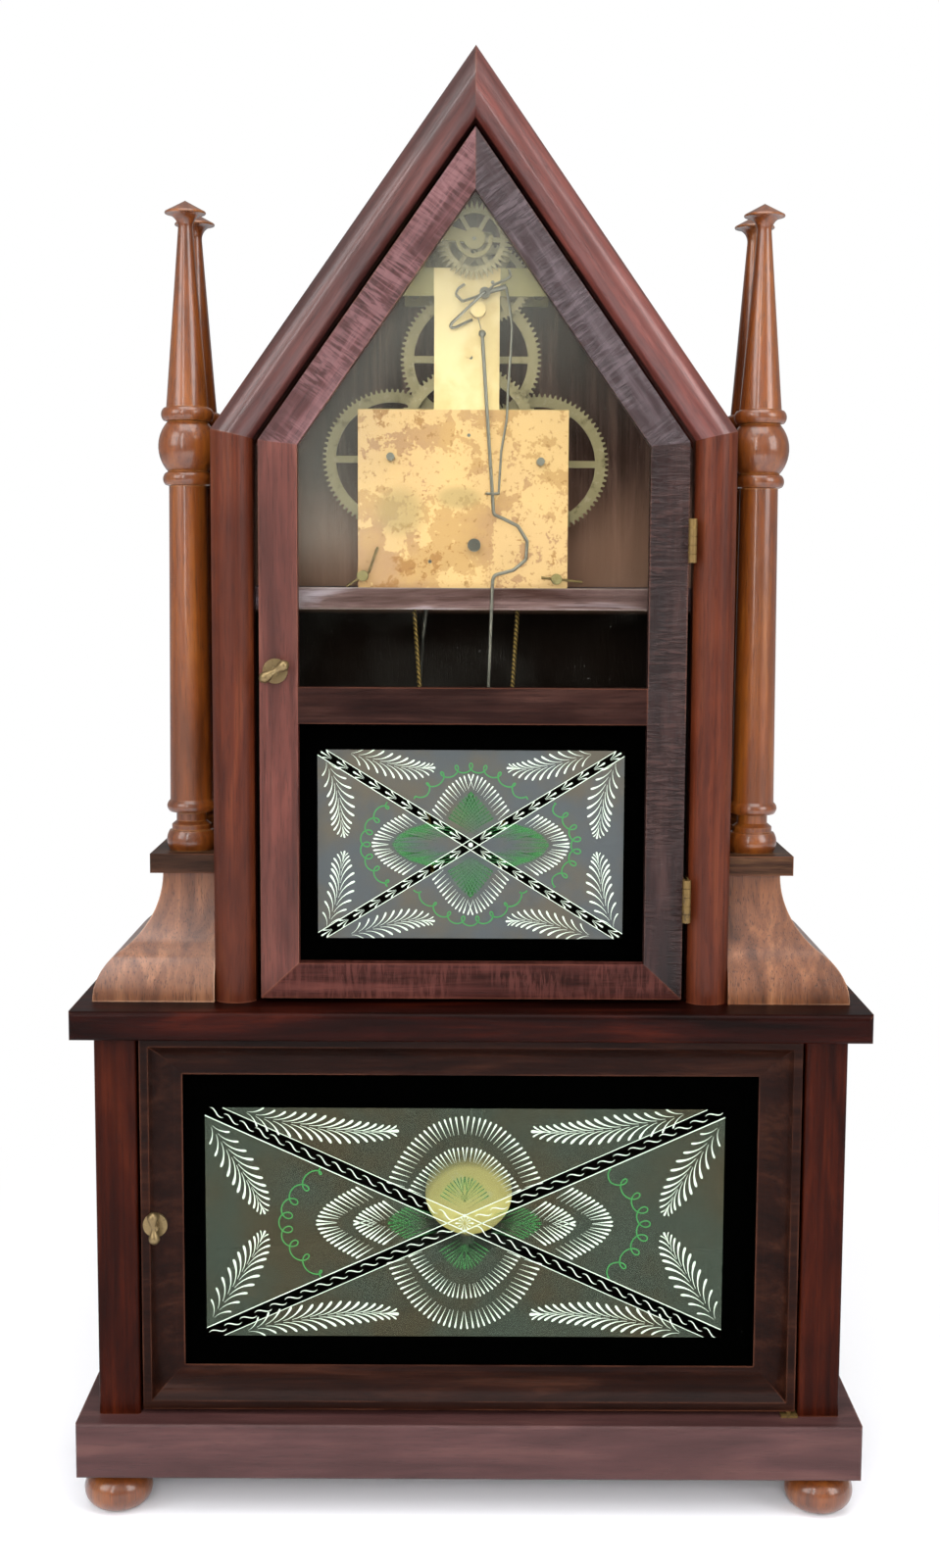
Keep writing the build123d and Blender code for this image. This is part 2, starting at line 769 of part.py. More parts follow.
plate_inner_y = movement_front_y + plate_thickness
back_plate_y = plate_inner_y + plate_gap


def step_from(place, direction, distance):
    """The place that lies a distance away from another in a direction given in degrees."""
    angle = direction * pi / 180
    return (place[0] + distance * cos(angle), place[1] + distance * sin(angle))


def centre_distance(wheel, pinion, module):
    """Distance between two arbors whose toothed wheels run together."""
    return (wheel + pinion) * module / 2


great_place = (great_wheel_x, seat_top + great_wheel_height)
strike_place = (strike_wheel_x, seat_top + strike_wheel_height)
train_step = centre_distance(wheel_teeth, pinion_leaves, train_module)
second_place = step_from(great_place, second_direction, train_step)
third_place = step_from(second_place, third_direction, train_step)
fourth_place = step_from(third_place, fourth_direction, train_step)
escape_place = step_from(
    fourth_place, escape_direction, centre_distance(fourth_wheel_teeth, pinion_leaves, fourth_module)
)
hand_place = step_from(
    great_place, hand_direction, centre_distance(wheel_teeth, hand_wheel_teeth, train_module)
)

# Tooth shapes: (height above the pitch circle in modules, place across one tooth pitch)
wheel_tooth_shares = [(-1.15, -0.3), (0.85, -0.12), (0.85, 0.12), (-1.15, 0.3)]
leaf_shares = [(-1.25, -0.2), (0.75, -0.08), (0.75, 0.08), (-1.25, 0.2)]
escape_tooth_shares = [(0.78, -0.5), (1.0, 0.0)]


def toothed_points(teeth, module, phase, shares):
    """Outline of a toothed wheel about its own centre, with one tooth centred at the phase angle."""
    pitch_radius = teeth * module / 2
    points = []
    for tooth in range(teeth):
        for height, place in shares:
            radius = pitch_radius + height * module
            angle = phase + 2 * pi * (tooth + place) / teeth
            points.append((radius * cos(angle), radius * sin(angle)))
    return points


def meshed_phase(driver_phase, driver_teeth, direction, follower_teeth):
    """Phase at which a follower's gap faces the driver's tooth on their line of centres."""
    angle = direction * pi / 180
    turned = (driver_phase - angle) * driver_teeth / follower_teeth
    return angle + pi - turned + pi / follower_teeth


rim_width = 5.5
arm_width = 3.2
hub_radius = 5.0
wheel_thickness = 1.2
arbor_radius = 1.1
pivot_radius = 0.8
pivot_fit = 0.06
shoulder_play = 0.15
pinion_length = 5.0
front_layer_depth = 4.6
layer_pitch = 6.0
arm_pairs = 3

front_layer_y = movement_front_y + front_layer_depth
middle_layer_y = front_layer_y + layer_pitch
back_layer_y = middle_layer_y + layer_pitch


def add_disc(place, middle_y, thickness, points):
    """A solid toothed disc in the open part."""
    with BuildSketch(facing(place, middle_y + thickness / 2)) as disc:
        Polygon(*points)
    extrude(disc.sketch, amount=thickness)


def add_wheel(place, middle_y, teeth, module, phase, rim, shares=wheel_tooth_shares):
    """A toothed wheel with a rim, crossed arms and a hub, in the open part."""
    inner_radius = teeth * module / 2 - rim
    with BuildSketch(facing(place, middle_y + wheel_thickness / 2)) as wheel:
        Polygon(*toothed_points(teeth, module, phase, shares))
        Circle(inner_radius, mode=Mode.SUBTRACT)
        Circle(hub_radius)
        with PolarLocations(0, arm_pairs, angular_range=180):
            Rectangle(2 * inner_radius + rim, arm_width)
    extrude(wheel.sketch, amount=wheel_thickness)


def add_rod(place, radius, start_y, end_y):
    """A round stretch of an arbor in the open part."""
    with BuildSketch(facing(place, end_y)) as rod:
        Circle(radius)
    extrude(rod.sketch, amount=end_y - start_y)


def add_arbor(place):
    """An arbor between the plates, with a thin pivot in each of them."""
    add_rod(place, arbor_radius, plate_inner_y + shoulder_play, back_plate_y - shoulder_play)
    add_rod(place, pivot_radius, movement_front_y, back_plate_y + plate_thickness)


second_pinion_phase = meshed_phase(0, wheel_teeth, second_direction, pinion_leaves)
third_pinion_phase = meshed_phase(0, wheel_teeth, third_direction, pinion_leaves)
fourth_pinion_phase = meshed_phase(0, wheel_teeth, fourth_direction, pinion_leaves)
escape_pinion_phase = meshed_phase(0, fourth_wheel_teeth, escape_direction, pinion_leaves)
hand_wheel_phase = meshed_phase(0, wheel_teeth, hand_direction, hand_wheel_teeth)

# Great wheels: each turns with the drum that its chain winds on, and is wound by a key on its square
winding_arbor_radius = 1.8
winding_arbor_stand = 9.5
drum_core_radius = 4.0
drum_flange_radius = 9.0
drum_flange_thickness = 1.2
drum_length = 14.4
drum_gap = 1.0

drum_front_y = back_layer_y + wheel_thickness / 2 + drum_gap
drum_back_y = drum_front_y + drum_length
winding_square_y = movement_front_y - winding_arbor_stand
shoulder_y = back_plate_y - shoulder_play

for name, place in (("time_great_wheel", great_place), ("strike_great_wheel", strike_place)):
    with BuildPart() as great_wheel:
        add_wheel(place, back_layer_y, wheel_teeth, train_module, 0, rim_width)
        add_rod(place, winding_arbor_radius, winding_square_y, shoulder_y)
        add_rod(place, pivot_radius, shoulder_y, back_plate_y + plate_thickness)
        add_rod(place, drum_core_radius, back_layer_y, drum_back_y)
        for start_y in (drum_front_y, drum_back_y - drum_flange_thickness):
            add_rod(place, drum_flange_radius, start_y, start_y + drum_flange_thickness)
    finish(great_wheel, name)

with BuildPart() as second_wheel:
    add_wheel(second_place, front_layer_y, wheel_teeth, train_module, 0, rim_width)
    second_leaves = toothed_points(pinion_leaves, train_module, second_pinion_phase, leaf_shares)
    add_disc(second_place, back_layer_y, pinion_length, second_leaves)
    add_arbor(second_place)
finish(second_wheel, "second_wheel")

with BuildPart() as third_wheel:
    add_wheel(third_place, middle_layer_y, wheel_teeth, train_module, 0, rim_width)
    third_leaves = toothed_points(pinion_leaves, train_module, third_pinion_phase, leaf_shares)
    add_disc(third_place, front_layer_y, pinion_length, third_leaves)
    add_arbor(third_place)
finish(third_wheel, "third_wheel")

small_rim_width = 3.6
with BuildPart() as fourth_wheel:
    add_wheel(fourth_place, front_layer_y, fourth_wheel_teeth, fourth_module, 0, small_rim_width)
    fourth_leaves = toothed_points(pinion_leaves, train_module, fourth_pinion_phase, leaf_shares)
    add_disc(fourth_place, middle_layer_y, pinion_length, fourth_leaves)
    add_arbor(fourth_place)
finish(fourth_wheel, "fourth_wheel")

# Escape wheel: pointed teeth, in front of the plate, with its front pivot in a cock
escape_tip_radius = 17.5
escape_rim_width = 4.6
escape_stand = 7.4
cock_stand = 12.0
cock_thickness = 1.2

escape_layer_y = movement_front_y - escape_stand
cock_y = movement_front_y - cock_stand

escape_points = [
    (escape_tip_radius * radius * cos(angle), escape_tip_radius * radius * sin(angle))
    for radius, angle in (
        (radius, 2 * pi * (tooth + place) / escape_teeth)
        for tooth in range(escape_teeth)
        for radius, place in escape_tooth_shares
    )
]
with BuildPart() as escape_wheel:
    inner_radius = escape_tip_radius - escape_rim_width - wheel_thickness
    with BuildSketch(facing(escape_place, escape_layer_y + wheel_thickness / 2)):
        Polygon(*escape_points)
        Circle(inner_radius, mode=Mode.SUBTRACT)
        Circle(hub_radius - wheel_thickness)
        with PolarLocations(0, arm_pairs, angular_range=180):
            Rectangle(2 * inner_radius + wheel_thickness, arm_width - wheel_thickness)
    extrude(amount=wheel_thickness)
    escape_leaves = toothed_points(pinion_leaves, fourth_module, escape_pinion_phase, leaf_shares)
    add_disc(escape_place, front_layer_y, pinion_length, escape_leaves)
    add_rod(escape_place, arbor_radius, cock_y + cock_thickness + shoulder_play, shoulder_y)
    add_rod(escape_place, pivot_radius, cock_y, back_plate_y + plate_thickness)
finish(escape_wheel, "escape_wheel")

# Hand arbor: it turns once an hour and stands out in front to carry the hands
hand_arbor_radius = 1.9
hand_arbor_tip_radius = 3.0
hand_arbor_stand = 15.0
hand_arbor_tip_length = 3.0

with BuildPart() as hand_arbor:
    add_wheel(hand_place, back_layer_y, hand_wheel_teeth, train_module, hand_wheel_phase, small_rim_width)
    tip_end_y = movement_front_y - hand_arbor_stand
    add_rod(hand_place, hand_arbor_radius, tip_end_y, shoulder_y)
    add_rod(hand_place, pivot_radius, shoulder_y, back_plate_y + plate_thickness)
    add_rod(hand_place, hand_arbor_tip_radius, tip_end_y, tip_end_y + hand_arbor_tip_length)
finish(hand_arbor, "hand_arbor")

# Front plate: a square brass plate with a tall strip and a cross bar above it
plate_left = -53.2
plate_right = 43.5
plate_height = 81.5
strip_left = -18.3
strip_right = 11.5
strip_height = 50.7
bar_left = -33.0
bar_right = 35.0
bar_height = 12.5
stud_radius = 3.4
stud_length = 8.0
rivet_radius = 1.3
rivet_height = 0.8
hammer_arbor_radius = 1.4

# Places on the plate: (distance from the middle of the case, height above the seat board)
stud_offset = (1.6, 125.3)
rivet_offsets = [(-14.2, 76.8), (6.1, 76.5), (-15.3, 7.6), (6.5, 6.3), (-2.6, 105.6)]
hammer_offset = (-20.0, 12.0)
pillar_offsets = [(-50.8, 5.4), (38.4, 4.2)]

# Places above the plate's strip: (distance from the middle of the case, height above the strip)
upper_pillar_offsets = [(-28.5, 6.4), (30.5, 6.4)]
cock_foot_offset = (-21.5, 28.6)

pillar_radius = 3.2
pillar_neck_radius = 2.4
pillar_fit = 0.1
pillar_stand = 6.0
cock_hub_radius = 4.8
cock_arm_width = 4.0
cock_fan_width = 9.0
crescent_radius = 8.4
crescent_width = 1.8
taper_pin_radius = 0.6
taper_pin_fit = 0.1
taper_pin_stand = 1.9
left_pin_angle = 33.0
right_pin_angle = -6.0

strip_top = seat_top + plate_height + strip_height
taper_pin_y = movement_front_y - taper_pin_stand


def above(height, offsets):
    """The places that have given offsets from the middle of the case and from a height."""
    return [(x, height + rise) for x, rise in offsets]


rivet_places = above(seat_top, rivet_offsets)
pillar_places = above(seat_top, pillar_offsets)
upper_pillar_places = above(strip_top, upper_pillar_offsets)
[stud_place, hammer_place] = above(seat_top, [stud_offset, hammer_offset])
[cock_foot_place] = above(strip_top, [cock_foot_offset])


def plate_outline():
    """Outline that both plates share."""
    return [
        (plate_left, seat_top),
        (plate_right, seat_top),
        (plate_right, seat_top + plate_height),
        (strip_right, seat_top + plate_height),
        (strip_right, strip_top),
        (bar_right, strip_top),
        (bar_right, strip_top + bar_height),
        (bar_left, strip_top + bar_height),
        (bar_left, strip_top),
        (strip_left, strip_top),
        (strip_left, seat_top + plate_height),
        (plate_left, seat_top + plate_height),
    ]


with BuildPart() as front_plate:
    with BuildSketch(front_plane(plate_inner_y)):
        Polygon(*plate_outline())
        for x, z in (second_place, third_place, fourth_place, hammer_place):
            with Locations((x, z)):
                Circle(pivot_radius + pivot_fit, mode=Mode.SUBTRACT)
        for x, z in (great_place, strike_place):
            with Locations((x, z)):
                Circle(winding_arbor_radius + pivot_fit, mode=Mode.SUBTRACT)
        with Locations(hand_place):
            Circle(hand_arbor_radius + pivot_fit, mode=Mode.SUBTRACT)
        for x, z in pillar_places:
            with Locations((x, z)):
                Circle(pillar_neck_radius + pillar_fit, mode=Mode.SUBTRACT)
    extrude(amount=plate_thickness)
    with BuildSketch(front_plane(movement_front_y)):
        with Locations(*rivet_places):
            Circle(rivet_radius)
    extrude(amount=rivet_height)
    with BuildSketch(front_plane(movement_front_y)):
        with Locations(stud_place):
            Circle(stud_radius)
    extrude(amount=stud_length)
finish(front_plate, "front_plate")

# Back plate, with the pillars and the cock of the escape wheel riveted to it
top_tab_left = -27.0
top_tab_right = 8.0
top_tab_height = 22.0

with BuildPart() as back_plate:
    with BuildSketch(front_plane(back_plate_y + plate_thickness)):
        Polygon(*plate_outline())
        with Locations(
            ((top_tab_left + top_tab_right) / 2, strip_top + bar_height + top_tab_height / 2)
        ):
            Rectangle(top_tab_right - top_tab_left, top_tab_height)
        for x, z in (
            second_place, third_place, fourth_place, escape_place, great_place, strike_place, hand_place,
        ):
            with Locations((x, z)):
                Circle(pivot_radius + pivot_fit, mode=Mode.SUBTRACT)
        with Locations(hammer_place):
            Circle(hammer_arbor_radius + pivot_fit, mode=Mode.SUBTRACT)
    extrude(amount=plate_thickness)
    for x, z in pillar_places:
        add_rod((x, z), pillar_radius, plate_inner_y, back_plate_y)
        add_rod((x, z), pillar_neck_radius, movement_front_y - pillar_stand, plate_inner_y)
    for x, z in upper_pillar_places:
        add_rod((x, z), pillar_radius, plate_inner_y, back_plate_y)
    add_rod(cock_foot_place, pillar_radius / 2, cock_y, back_plate_y)
    with BuildSketch(facing(escape_place, cock_y + cock_thickness)):
        foot = (cock_foot_place[0] - escape_place[0], cock_foot_place[1] - escape_place[1])
        Circle(crescent_radius)
        Circle(crescent_radius - crescent_width, mode=Mode.SUBTRACT)
        Polygon(
            (-crescent_radius - crescent_width, 0),
            (-crescent_radius - crescent_width, crescent_radius + crescent_width),
            (crescent_radius + crescent_width, crescent_radius + crescent_width),
            (crescent_radius + crescent_width, crescent_width),
            mode=Mode.SUBTRACT,
        )
        Circle(cock_hub_radius)
        Polygon(
            (0, -cock_arm_width / 2),
            (0, cock_arm_width / 2),
            (foot[0] - cock_arm_width / 2, foot[1] + cock_fan_width / 2),
            (foot[0] - cock_arm_width / 2, foot[1] - cock_fan_width / 2),
        )
        Circle(pivot_radius + pivot_fit, mode=Mode.SUBTRACT)
    extrude(amount=cock_thickness)
    for (x, z), pin_angle in zip(pillar_places, (left_pin_angle, right_pin_angle)):
        angle = pin_angle * pi / 180
        start = Vector(x, taper_pin_y, z) - Vector(cos(angle), 0, sin(angle)) * pillar_radius
        with BuildSketch(Plane(origin=start, z_dir=(cos(angle), 0, sin(angle)))):
            Circle(taper_pin_radius + taper_pin_fit)
        extrude(amount=2 * pillar_radius, mode=Mode.SUBTRACT)
finish(back_plate, "back_plate")


def wire(points, radius, bend):
    """A round wire along straight runs that are joined by bends."""
    with BuildPart() as piece:
        with BuildLine() as path:
            if len(points) > 2:
                FilletPolyline(*points, radius=bend)
            else:
                Line(*points)
        with BuildSketch(Plane(origin=path.line @ 0, z_dir=path.line % 0)):
            Circle(radius)
        sweep(path=path.line)
    return piece


# Taper pins through the lower pillars hold the front plate; the left one is bent up at its end
left_pin_reach = (9.2, 3.2)
left_pin_tail = (6.8, 13.2)
left_pin_bend = 1.2
right_pin_reach = (7.1, 12.0)



def pin_points(pillar, pin_angle, reach):
    """Both ends of a taper pin through a pillar, from its reach to either side."""
    angle = pin_angle * pi / 180
    return [
        (pillar[0] + along * cos(angle), taper_pin_y, pillar[1] + along * sin(angle))
        for along in (-reach[0], reach[1])
    ]


left_pillar, right_pillar = pillar_places
left_tail = (left_pillar[0] + left_pin_tail[0], taper_pin_y, left_pillar[1] + left_pin_tail[1])
left_points = pin_points(left_pillar, left_pin_angle, left_pin_reach) + [left_tail]
left_pin = wire(left_points, taper_pin_radius, left_pin_bend)
right_points = pin_points(right_pillar, right_pin_angle, right_pin_reach)
right_pin = wire(right_points, taper_pin_radius, left_pin_bend)
with BuildPart() as taper_pins:
    add(left_pin.part)
    add(right_pin.part)
finish(taper_pins, "taper_pins")

# Verge and crutch: a bent steel strip whose ends stand just off the escape teeth, on a brass saddle,
# with a wire crutch that loops round the pendulum rod
verge_offset = (4.6, 0.4)
verge_strip_width = 4.0
verge_strip_thickness = 0.9
saddle_radius = 2.4
saddle_length = 5.4
verge_pin_radius = 0.65
verge_pin_fit = 0.08
crutch_wire_radius = 0.55
collet_radius = 1.1
verge_span = 24.1
verge_rise = 13.0
verge_bend = 1.2
verge_strip_shares = [
    (0.39, 0.45),
    (0.17, 0.27),
    (0.03, 0.02),
    (-0.19, -0.16),
    (-0.42, -0.29),
    (-0.55, -0.05),
    (-0.5, 0.14),
    (-0.38, 0.29),
]
verge_tail_shares = [(0.39, 0.45), (0.485, 0.57), (0.45, 0.79)]
crutch_length = 92.0
crutch_shares = [(0.15, 0.03), (0.12, -0.055), (0.135, -0.16), (0.13, -0.28), (0.118, -0.44)]
crutch_foot_shares = [(0.112, -0.61), (0.085, -0.77), (0.078, -0.9), (0.074, -0.975)]
crutch_loop_half = 2.6
crutch_loop_width = 5.6
crutch_bend = 0.8
crutch_rise_bend = 3.0

[verge_place] = above(strip_top, [verge_offset])
verge_y = escape_layer_y


def near_verge(x_share, z_share, x_size, z_size):
    """A point near the verge's pin, from shares of two sizes."""
    return (verge_place[0] + x_share * x_size, verge_y, verge_place[1] + z_share * z_size)


with BuildPart() as verge_strip:
    with BuildLine() as strip_path:
        FilletPolyline(
            *[near_verge(x, z, verge_span, verge_rise) for x, z in reversed(verge_tail_shares)],
            *[near_verge(x, z, verge_span, verge_rise) for x, z in verge_strip_shares[1:]],
            radius=verge_bend,
        )
    with BuildSketch(
        Plane(origin=strip_path.line @ 0, x_dir=(0, 1, 0), z_dir=strip_path.line % 0)
    ):
        Rectangle(verge_strip_width, verge_strip_thickness)
    sweep(path=strip_path.line)

collet = wire(
    [near_verge(0, 0, 1, 1), near_verge(0.4, 0.22, verge_span, verge_rise)], collet_radius, verge_bend
)
crutch_points = [near_verge(0.4, 0.2, verge_span, verge_rise)] + [
    near_verge(x, z, crutch_length, crutch_length) for x, z in crutch_shares[1:] + crutch_foot_shares
]
crutch = wire(crutch_points, crutch_wire_radius, crutch_rise_bend)
loop_x, loop_y, loop_z = crutch_points[-1]
crutch_loop = wire(
    [
        (loop_x, loop_y, loop_z),
        (loop_x, loop_y - crutch_loop_half, loop_z),
        (loop_x - crutch_loop_width, loop_y - crutch_loop_half, loop_z),
        (loop_x - crutch_loop_width, loop_y + crutch_loop_half, loop_z),
        (loop_x, loop_y + crutch_loop_half, loop_z),
    ],
    crutch_wire_radius,
    crutch_bend,
)
with BuildPart() as verge:
    add(verge_strip.part)
    add(collet.part)
    add(crutch.part)
    add(crutch_loop.part)
    add_rod(verge_place, saddle_radius, verge_y - saddle_length / 2, verge_y + saddle_length / 2)
    with BuildSketch(facing(verge_place, verge_y + saddle_length)):
        Circle(verge_pin_radius + verge_pin_fit)
    extrude(amount=2 * saddle_length, mode=Mode.SUBTRACT)
finish(verge, "verge_and_crutch")

# Verge wire: one steel wire that is the pin of the verge and turns back into the plate
verge_wire_stand = 11.8
verge_wire_bend = 1.0
verge_wire_shares = [(-0.62, -1.03), (-0.66, -1.2), (-0.55, -1.16), (-0.25, -0.88)]
verge_wire_front_y = movement_front_y - verge_wire_stand
wire_start = (verge_place[0], movement_front_y, verge_place[1])
wire_corner = (verge_place[0], verge_wire_front_y, verge_place[1])
wire_depths = [0.55, 0.5, 0.42, 0.3]
wire_points = [wire_start, wire_corner]
for (x, z), depth in zip(verge_wire_shares, wire_depths):
    y = movement_front_y + (verge_wire_front_y - movement_front_y) * depth
    wire_points.append((verge_place[0] + x * verge_span, y, verge_place[1] + z * verge_rise))
wire_points.append((wire_points[-1][0], movement_front_y, wire_points[-1][2]))
verge_wire = wire(wire_points, verge_pin_radius, verge_wire_bend)
finish(verge_wire, "verge_wire")

# Pendulum: a thin suspension strip under the stud, a bead, and a steel wire that bows round the hand
# arbor and runs down through the shelf to the bob
rod_radius = 0.8
suspension_gap = 0.3
suspension_width = 3.0
suspension_thickness = 0.3
bead_radius = 1.7
rod_offsets = [(3.5, 114.6), (6.2, 75.6), (9.2, 33.5)]
bow_width = 15.4
bow_height = 30.0
bow_shares = [(0.28, -0.06), (0.72, -0.17), (1.0, -0.4), (0.97, -0.68), (0.6, -0.84), (0.03, -0.92)]
rod_bottom_offset = (-1.6, 66.5)
bob_rise = 95.5
bob_radius = 20.5
bob_thickness = 9.0
bob_rim = 1.6
bob_fit = 0.06
nut_radius = 3.2
nut_length = 4.0
rod_bend = 2.0

rod_y = verge_y
bob_height = plinth_top + bob_rise
[rod_top, rod_knee, bow_top] = above(seat_top, rod_offsets)
[rod_bottom] = above(plinth_top, [rod_bottom_offset])
suspension_top = (stud_place[0], stud_place[1] - stud_radius - suspension_gap)
bow_points = [(bow_top[0] + x * bow_width, bow_top[1] + z * bow_height) for x, z in bow_shares]
bow_bottom = (bow_top[0] - suspension_gap, bow_top[1] - bow_height)
rod_places = [rod_top, rod_knee, bow_top] + bow_points + [bow_bottom, rod_bottom]
rod_wire = wire([(x, rod_y, z) for x, z in rod_places], rod_radius, rod_bend)
slope = (rod_bottom[0] - bow_bottom[0]) / (rod_bottom[1] - bow_bottom[1])
bob_place = (rod_bottom[0] + slope * (bob_height - rod_bottom[1]), bob_height)
nut_top_z = bob_height - bob_radius - bob_fit

with BuildPart() as pendulum_rod:
    add(rod_wire.part)
    with Locations((rod_top[0], rod_y, rod_top[1])):
        Sphere(bead_radius)
    lean = Vector(suspension_top[0] - rod_top[0], 0, suspension_top[1] - rod_top[1])
    with BuildSketch(Plane(origin=(rod_top[0], rod_y, rod_top[1]), x_dir=(0, 1, 0), z_dir=lean)):
        Rectangle(suspension_width, suspension_thickness)
    extrude(amount=lean.length)
    with BuildSketch(Plane.XY.offset(nut_top_z - nut_length)):
        with Locations((rod_bottom[0] + slope * (nut_top_z - rod_bottom[1]), rod_y)):
            Circle(nut_radius)
    extrude(amount=nut_length)
finish(pendulum_rod, "pendulum_rod")

with BuildPart() as bob:
    with BuildSketch(Plane(origin=(bob_place[0], rod_y, bob_place[1]), x_dir=(0, 1, 0), z_dir=(1, 0, 0))):
        # Half of the lens: local x runs back, local y runs up from the middle
        with BuildLine():
            ThreePointArc(
                (-bob_thickness / 2, 0),
                (-(bob_thickness + bob_rim) / 2.9, bob_radius / 2),
                (-bob_rim / 2, bob_radius),
            )
            Line((-bob_rim / 2, bob_radius), (bob_rim / 2, bob_radius))
            ThreePointArc(
                (bob_rim / 2, bob_radius),
                ((bob_thickness + bob_rim) / 2.9, bob_radius / 2),
                (bob_thickness / 2, 0),
            )
            Line((bob_thickness / 2, 0), (-bob_thickness / 2, 0))
        make_face()
    revolve(axis=Axis((bob_place[0], rod_y, bob_place[1]), (0, 1, 0)))
    rod_line = Vector(slope, 0, 1).normalized()
    bore_start = Vector(bob_place[0], rod_y, bob_place[1]) - rod_line * (bob_radius + bob_rim)
    with BuildSketch(Plane(origin=bore_start, z_dir=rod_line)):
        Circle(rod_radius + bob_fit)
    extrude(amount=2 * (bob_radius + bob_rim), mode=Mode.SUBTRACT)
finish(bob, "pendulum_bob")

# Strike: a hammer on an arbor behind the plate, and a coiled gong on the back of the case
hammer_arm_radius = 1.0
hammer_arm_gap = 3.8
hammer_head_lag = 1.5
hammer_head_radius = 4.5
hammer_head_length = 11.0
hammer_arm_top_length = 36.0
hammer_arm_length = 92.0
hammer_lean = 8.0
hammer_bend = 3.0
gong_drop = 109.3
gong_turns = 3
gong_inner_radius = 8.0
gong_pitch = 7.0
gong_strip = 2.2
gong_strip_depth = 3.0
gong_stand = 14.5

gong_place = (0, seat_top - gong_drop)
gong_front_y = back_inner_y - gong_stand
hammer_arm_y = back_plate_y + plate_thickness + hammer_arm_gap
hammer_head_y = gong_front_y + hammer_head_lag

with BuildPart() as gong:
    with BuildLine() as gong_path:
        radius = gong_inner_radius
        x = gong_place[0] + gong_inner_radius
        for half_turn in range(2 * gong_turns):
            down = -1 if half_turn % 2 else 1
            next_radius = radius + gong_pitch / 4
            start = (x, gong_front_y, gong_place[1])
            end = (x - down * 2 * next_radius, gong_front_y, gong_place[1])
            middle = (x - down * next_radius, gong_front_y, gong_place[1] + down * next_radius)
            ThreePointArc(start, middle, end)
            x = x - down * 2 * next_radius
            radius = next_radius + gong_pitch / 4
    with BuildSketch(
        Plane(origin=(gong_place[0] + gong_inner_radius, gong_front_y, gong_place[1]), z_dir=(0, 0, 1))
    ):
        Rectangle(gong_strip, gong_strip_depth)
    sweep(path=gong_path.line)
    with BuildSketch(front_plane(back_inner_y)):
        with Locations(gong_place):
            Circle(gong_inner_radius + gong_strip / 4)
    extrude(amount=back_inner_y - gong_front_y)
finish(gong, "gong")

hammer_end_x = hammer_place[0] - hammer_lean
hammer_drop = wire(
    [
        (hammer_place[0], hammer_arm_y, hammer_place[1]),
        (hammer_place[0] - hammer_lean / 2, hammer_arm_y, hammer_place[1] - hammer_arm_top_length),
        (hammer_end_x, hammer_head_y, hammer_place[1] - hammer_arm_length),
    ],
    hammer_arm_radius,
    hammer_bend,
)
with BuildPart() as hammer:
    add(hammer_drop.part)
    arbor_end_y = hammer_arm_y + hammer_arbor_radius
    add_rod(hammer_place, hammer_arbor_radius, plate_inner_y + shoulder_play, arbor_end_y)
    add_rod(hammer_place, pivot_radius, movement_front_y, plate_inner_y + shoulder_play)
    head_z = hammer_place[1] - hammer_arm_length
    with BuildSketch(
        Plane(origin=(hammer_end_x - hammer_head_length / 2, hammer_head_y, head_z), z_dir=(1, 0, 0))
    ):
        Circle(hammer_head_radius)
    extrude(amount=hammer_head_length)
finish(hammer, "hammer")

# Leaf spring: a pack of curved steel leaves, clamped in the middle of the plinth, whose ends pull the
# chains through two levers on an iron bracket
spring_side_room = 37.1
spring_sag = 26.0
leaf_count = 6
spring_leaf_thickness = 1.8
spring_width = 24.0
leaf_share_step = 0.12
clamp_width = 34.0
clamp_height = 6.0
bracket_width = 44.0
bracket_thickness = 4.0
bracket_height = 52.0
lever_thickness = 4.0
lever_height = 7.0
lever_drop = 9.0
lever_pivot_x = 15.0
lever_pin_radius = 2.0
lever_lag = 0.2
chain_radius = 1.0
chain_seat = 0.1
left_chain_end_x = -6.0
right_chain_end_x = 3.0
link_radius = 1.2

lever_y = (drum_front_y + drum_back_y) / 2 + lever_lag
spring_front_y = lever_y - spring_width / 2
spring_span = 2 * (lower_half - board_thickness - spring_side_room)
spring_radius = (spring_span * spring_span / 4 + spring_sag * spring_sag) / (2 * spring_sag)
pack_height = leaf_count * spring_leaf_thickness
spring_top_z = plinth_top + clamp_height + pack_height
spring_centre_z = spring_top_z + spring_radius
spring_end_z = spring_top_z + spring_sag
lever_z = plinth_top + clamp_height + pack_height + bracket_height - lever_height
bracket_front_y = lever_y + lever_thickness / 2 + chain_radius

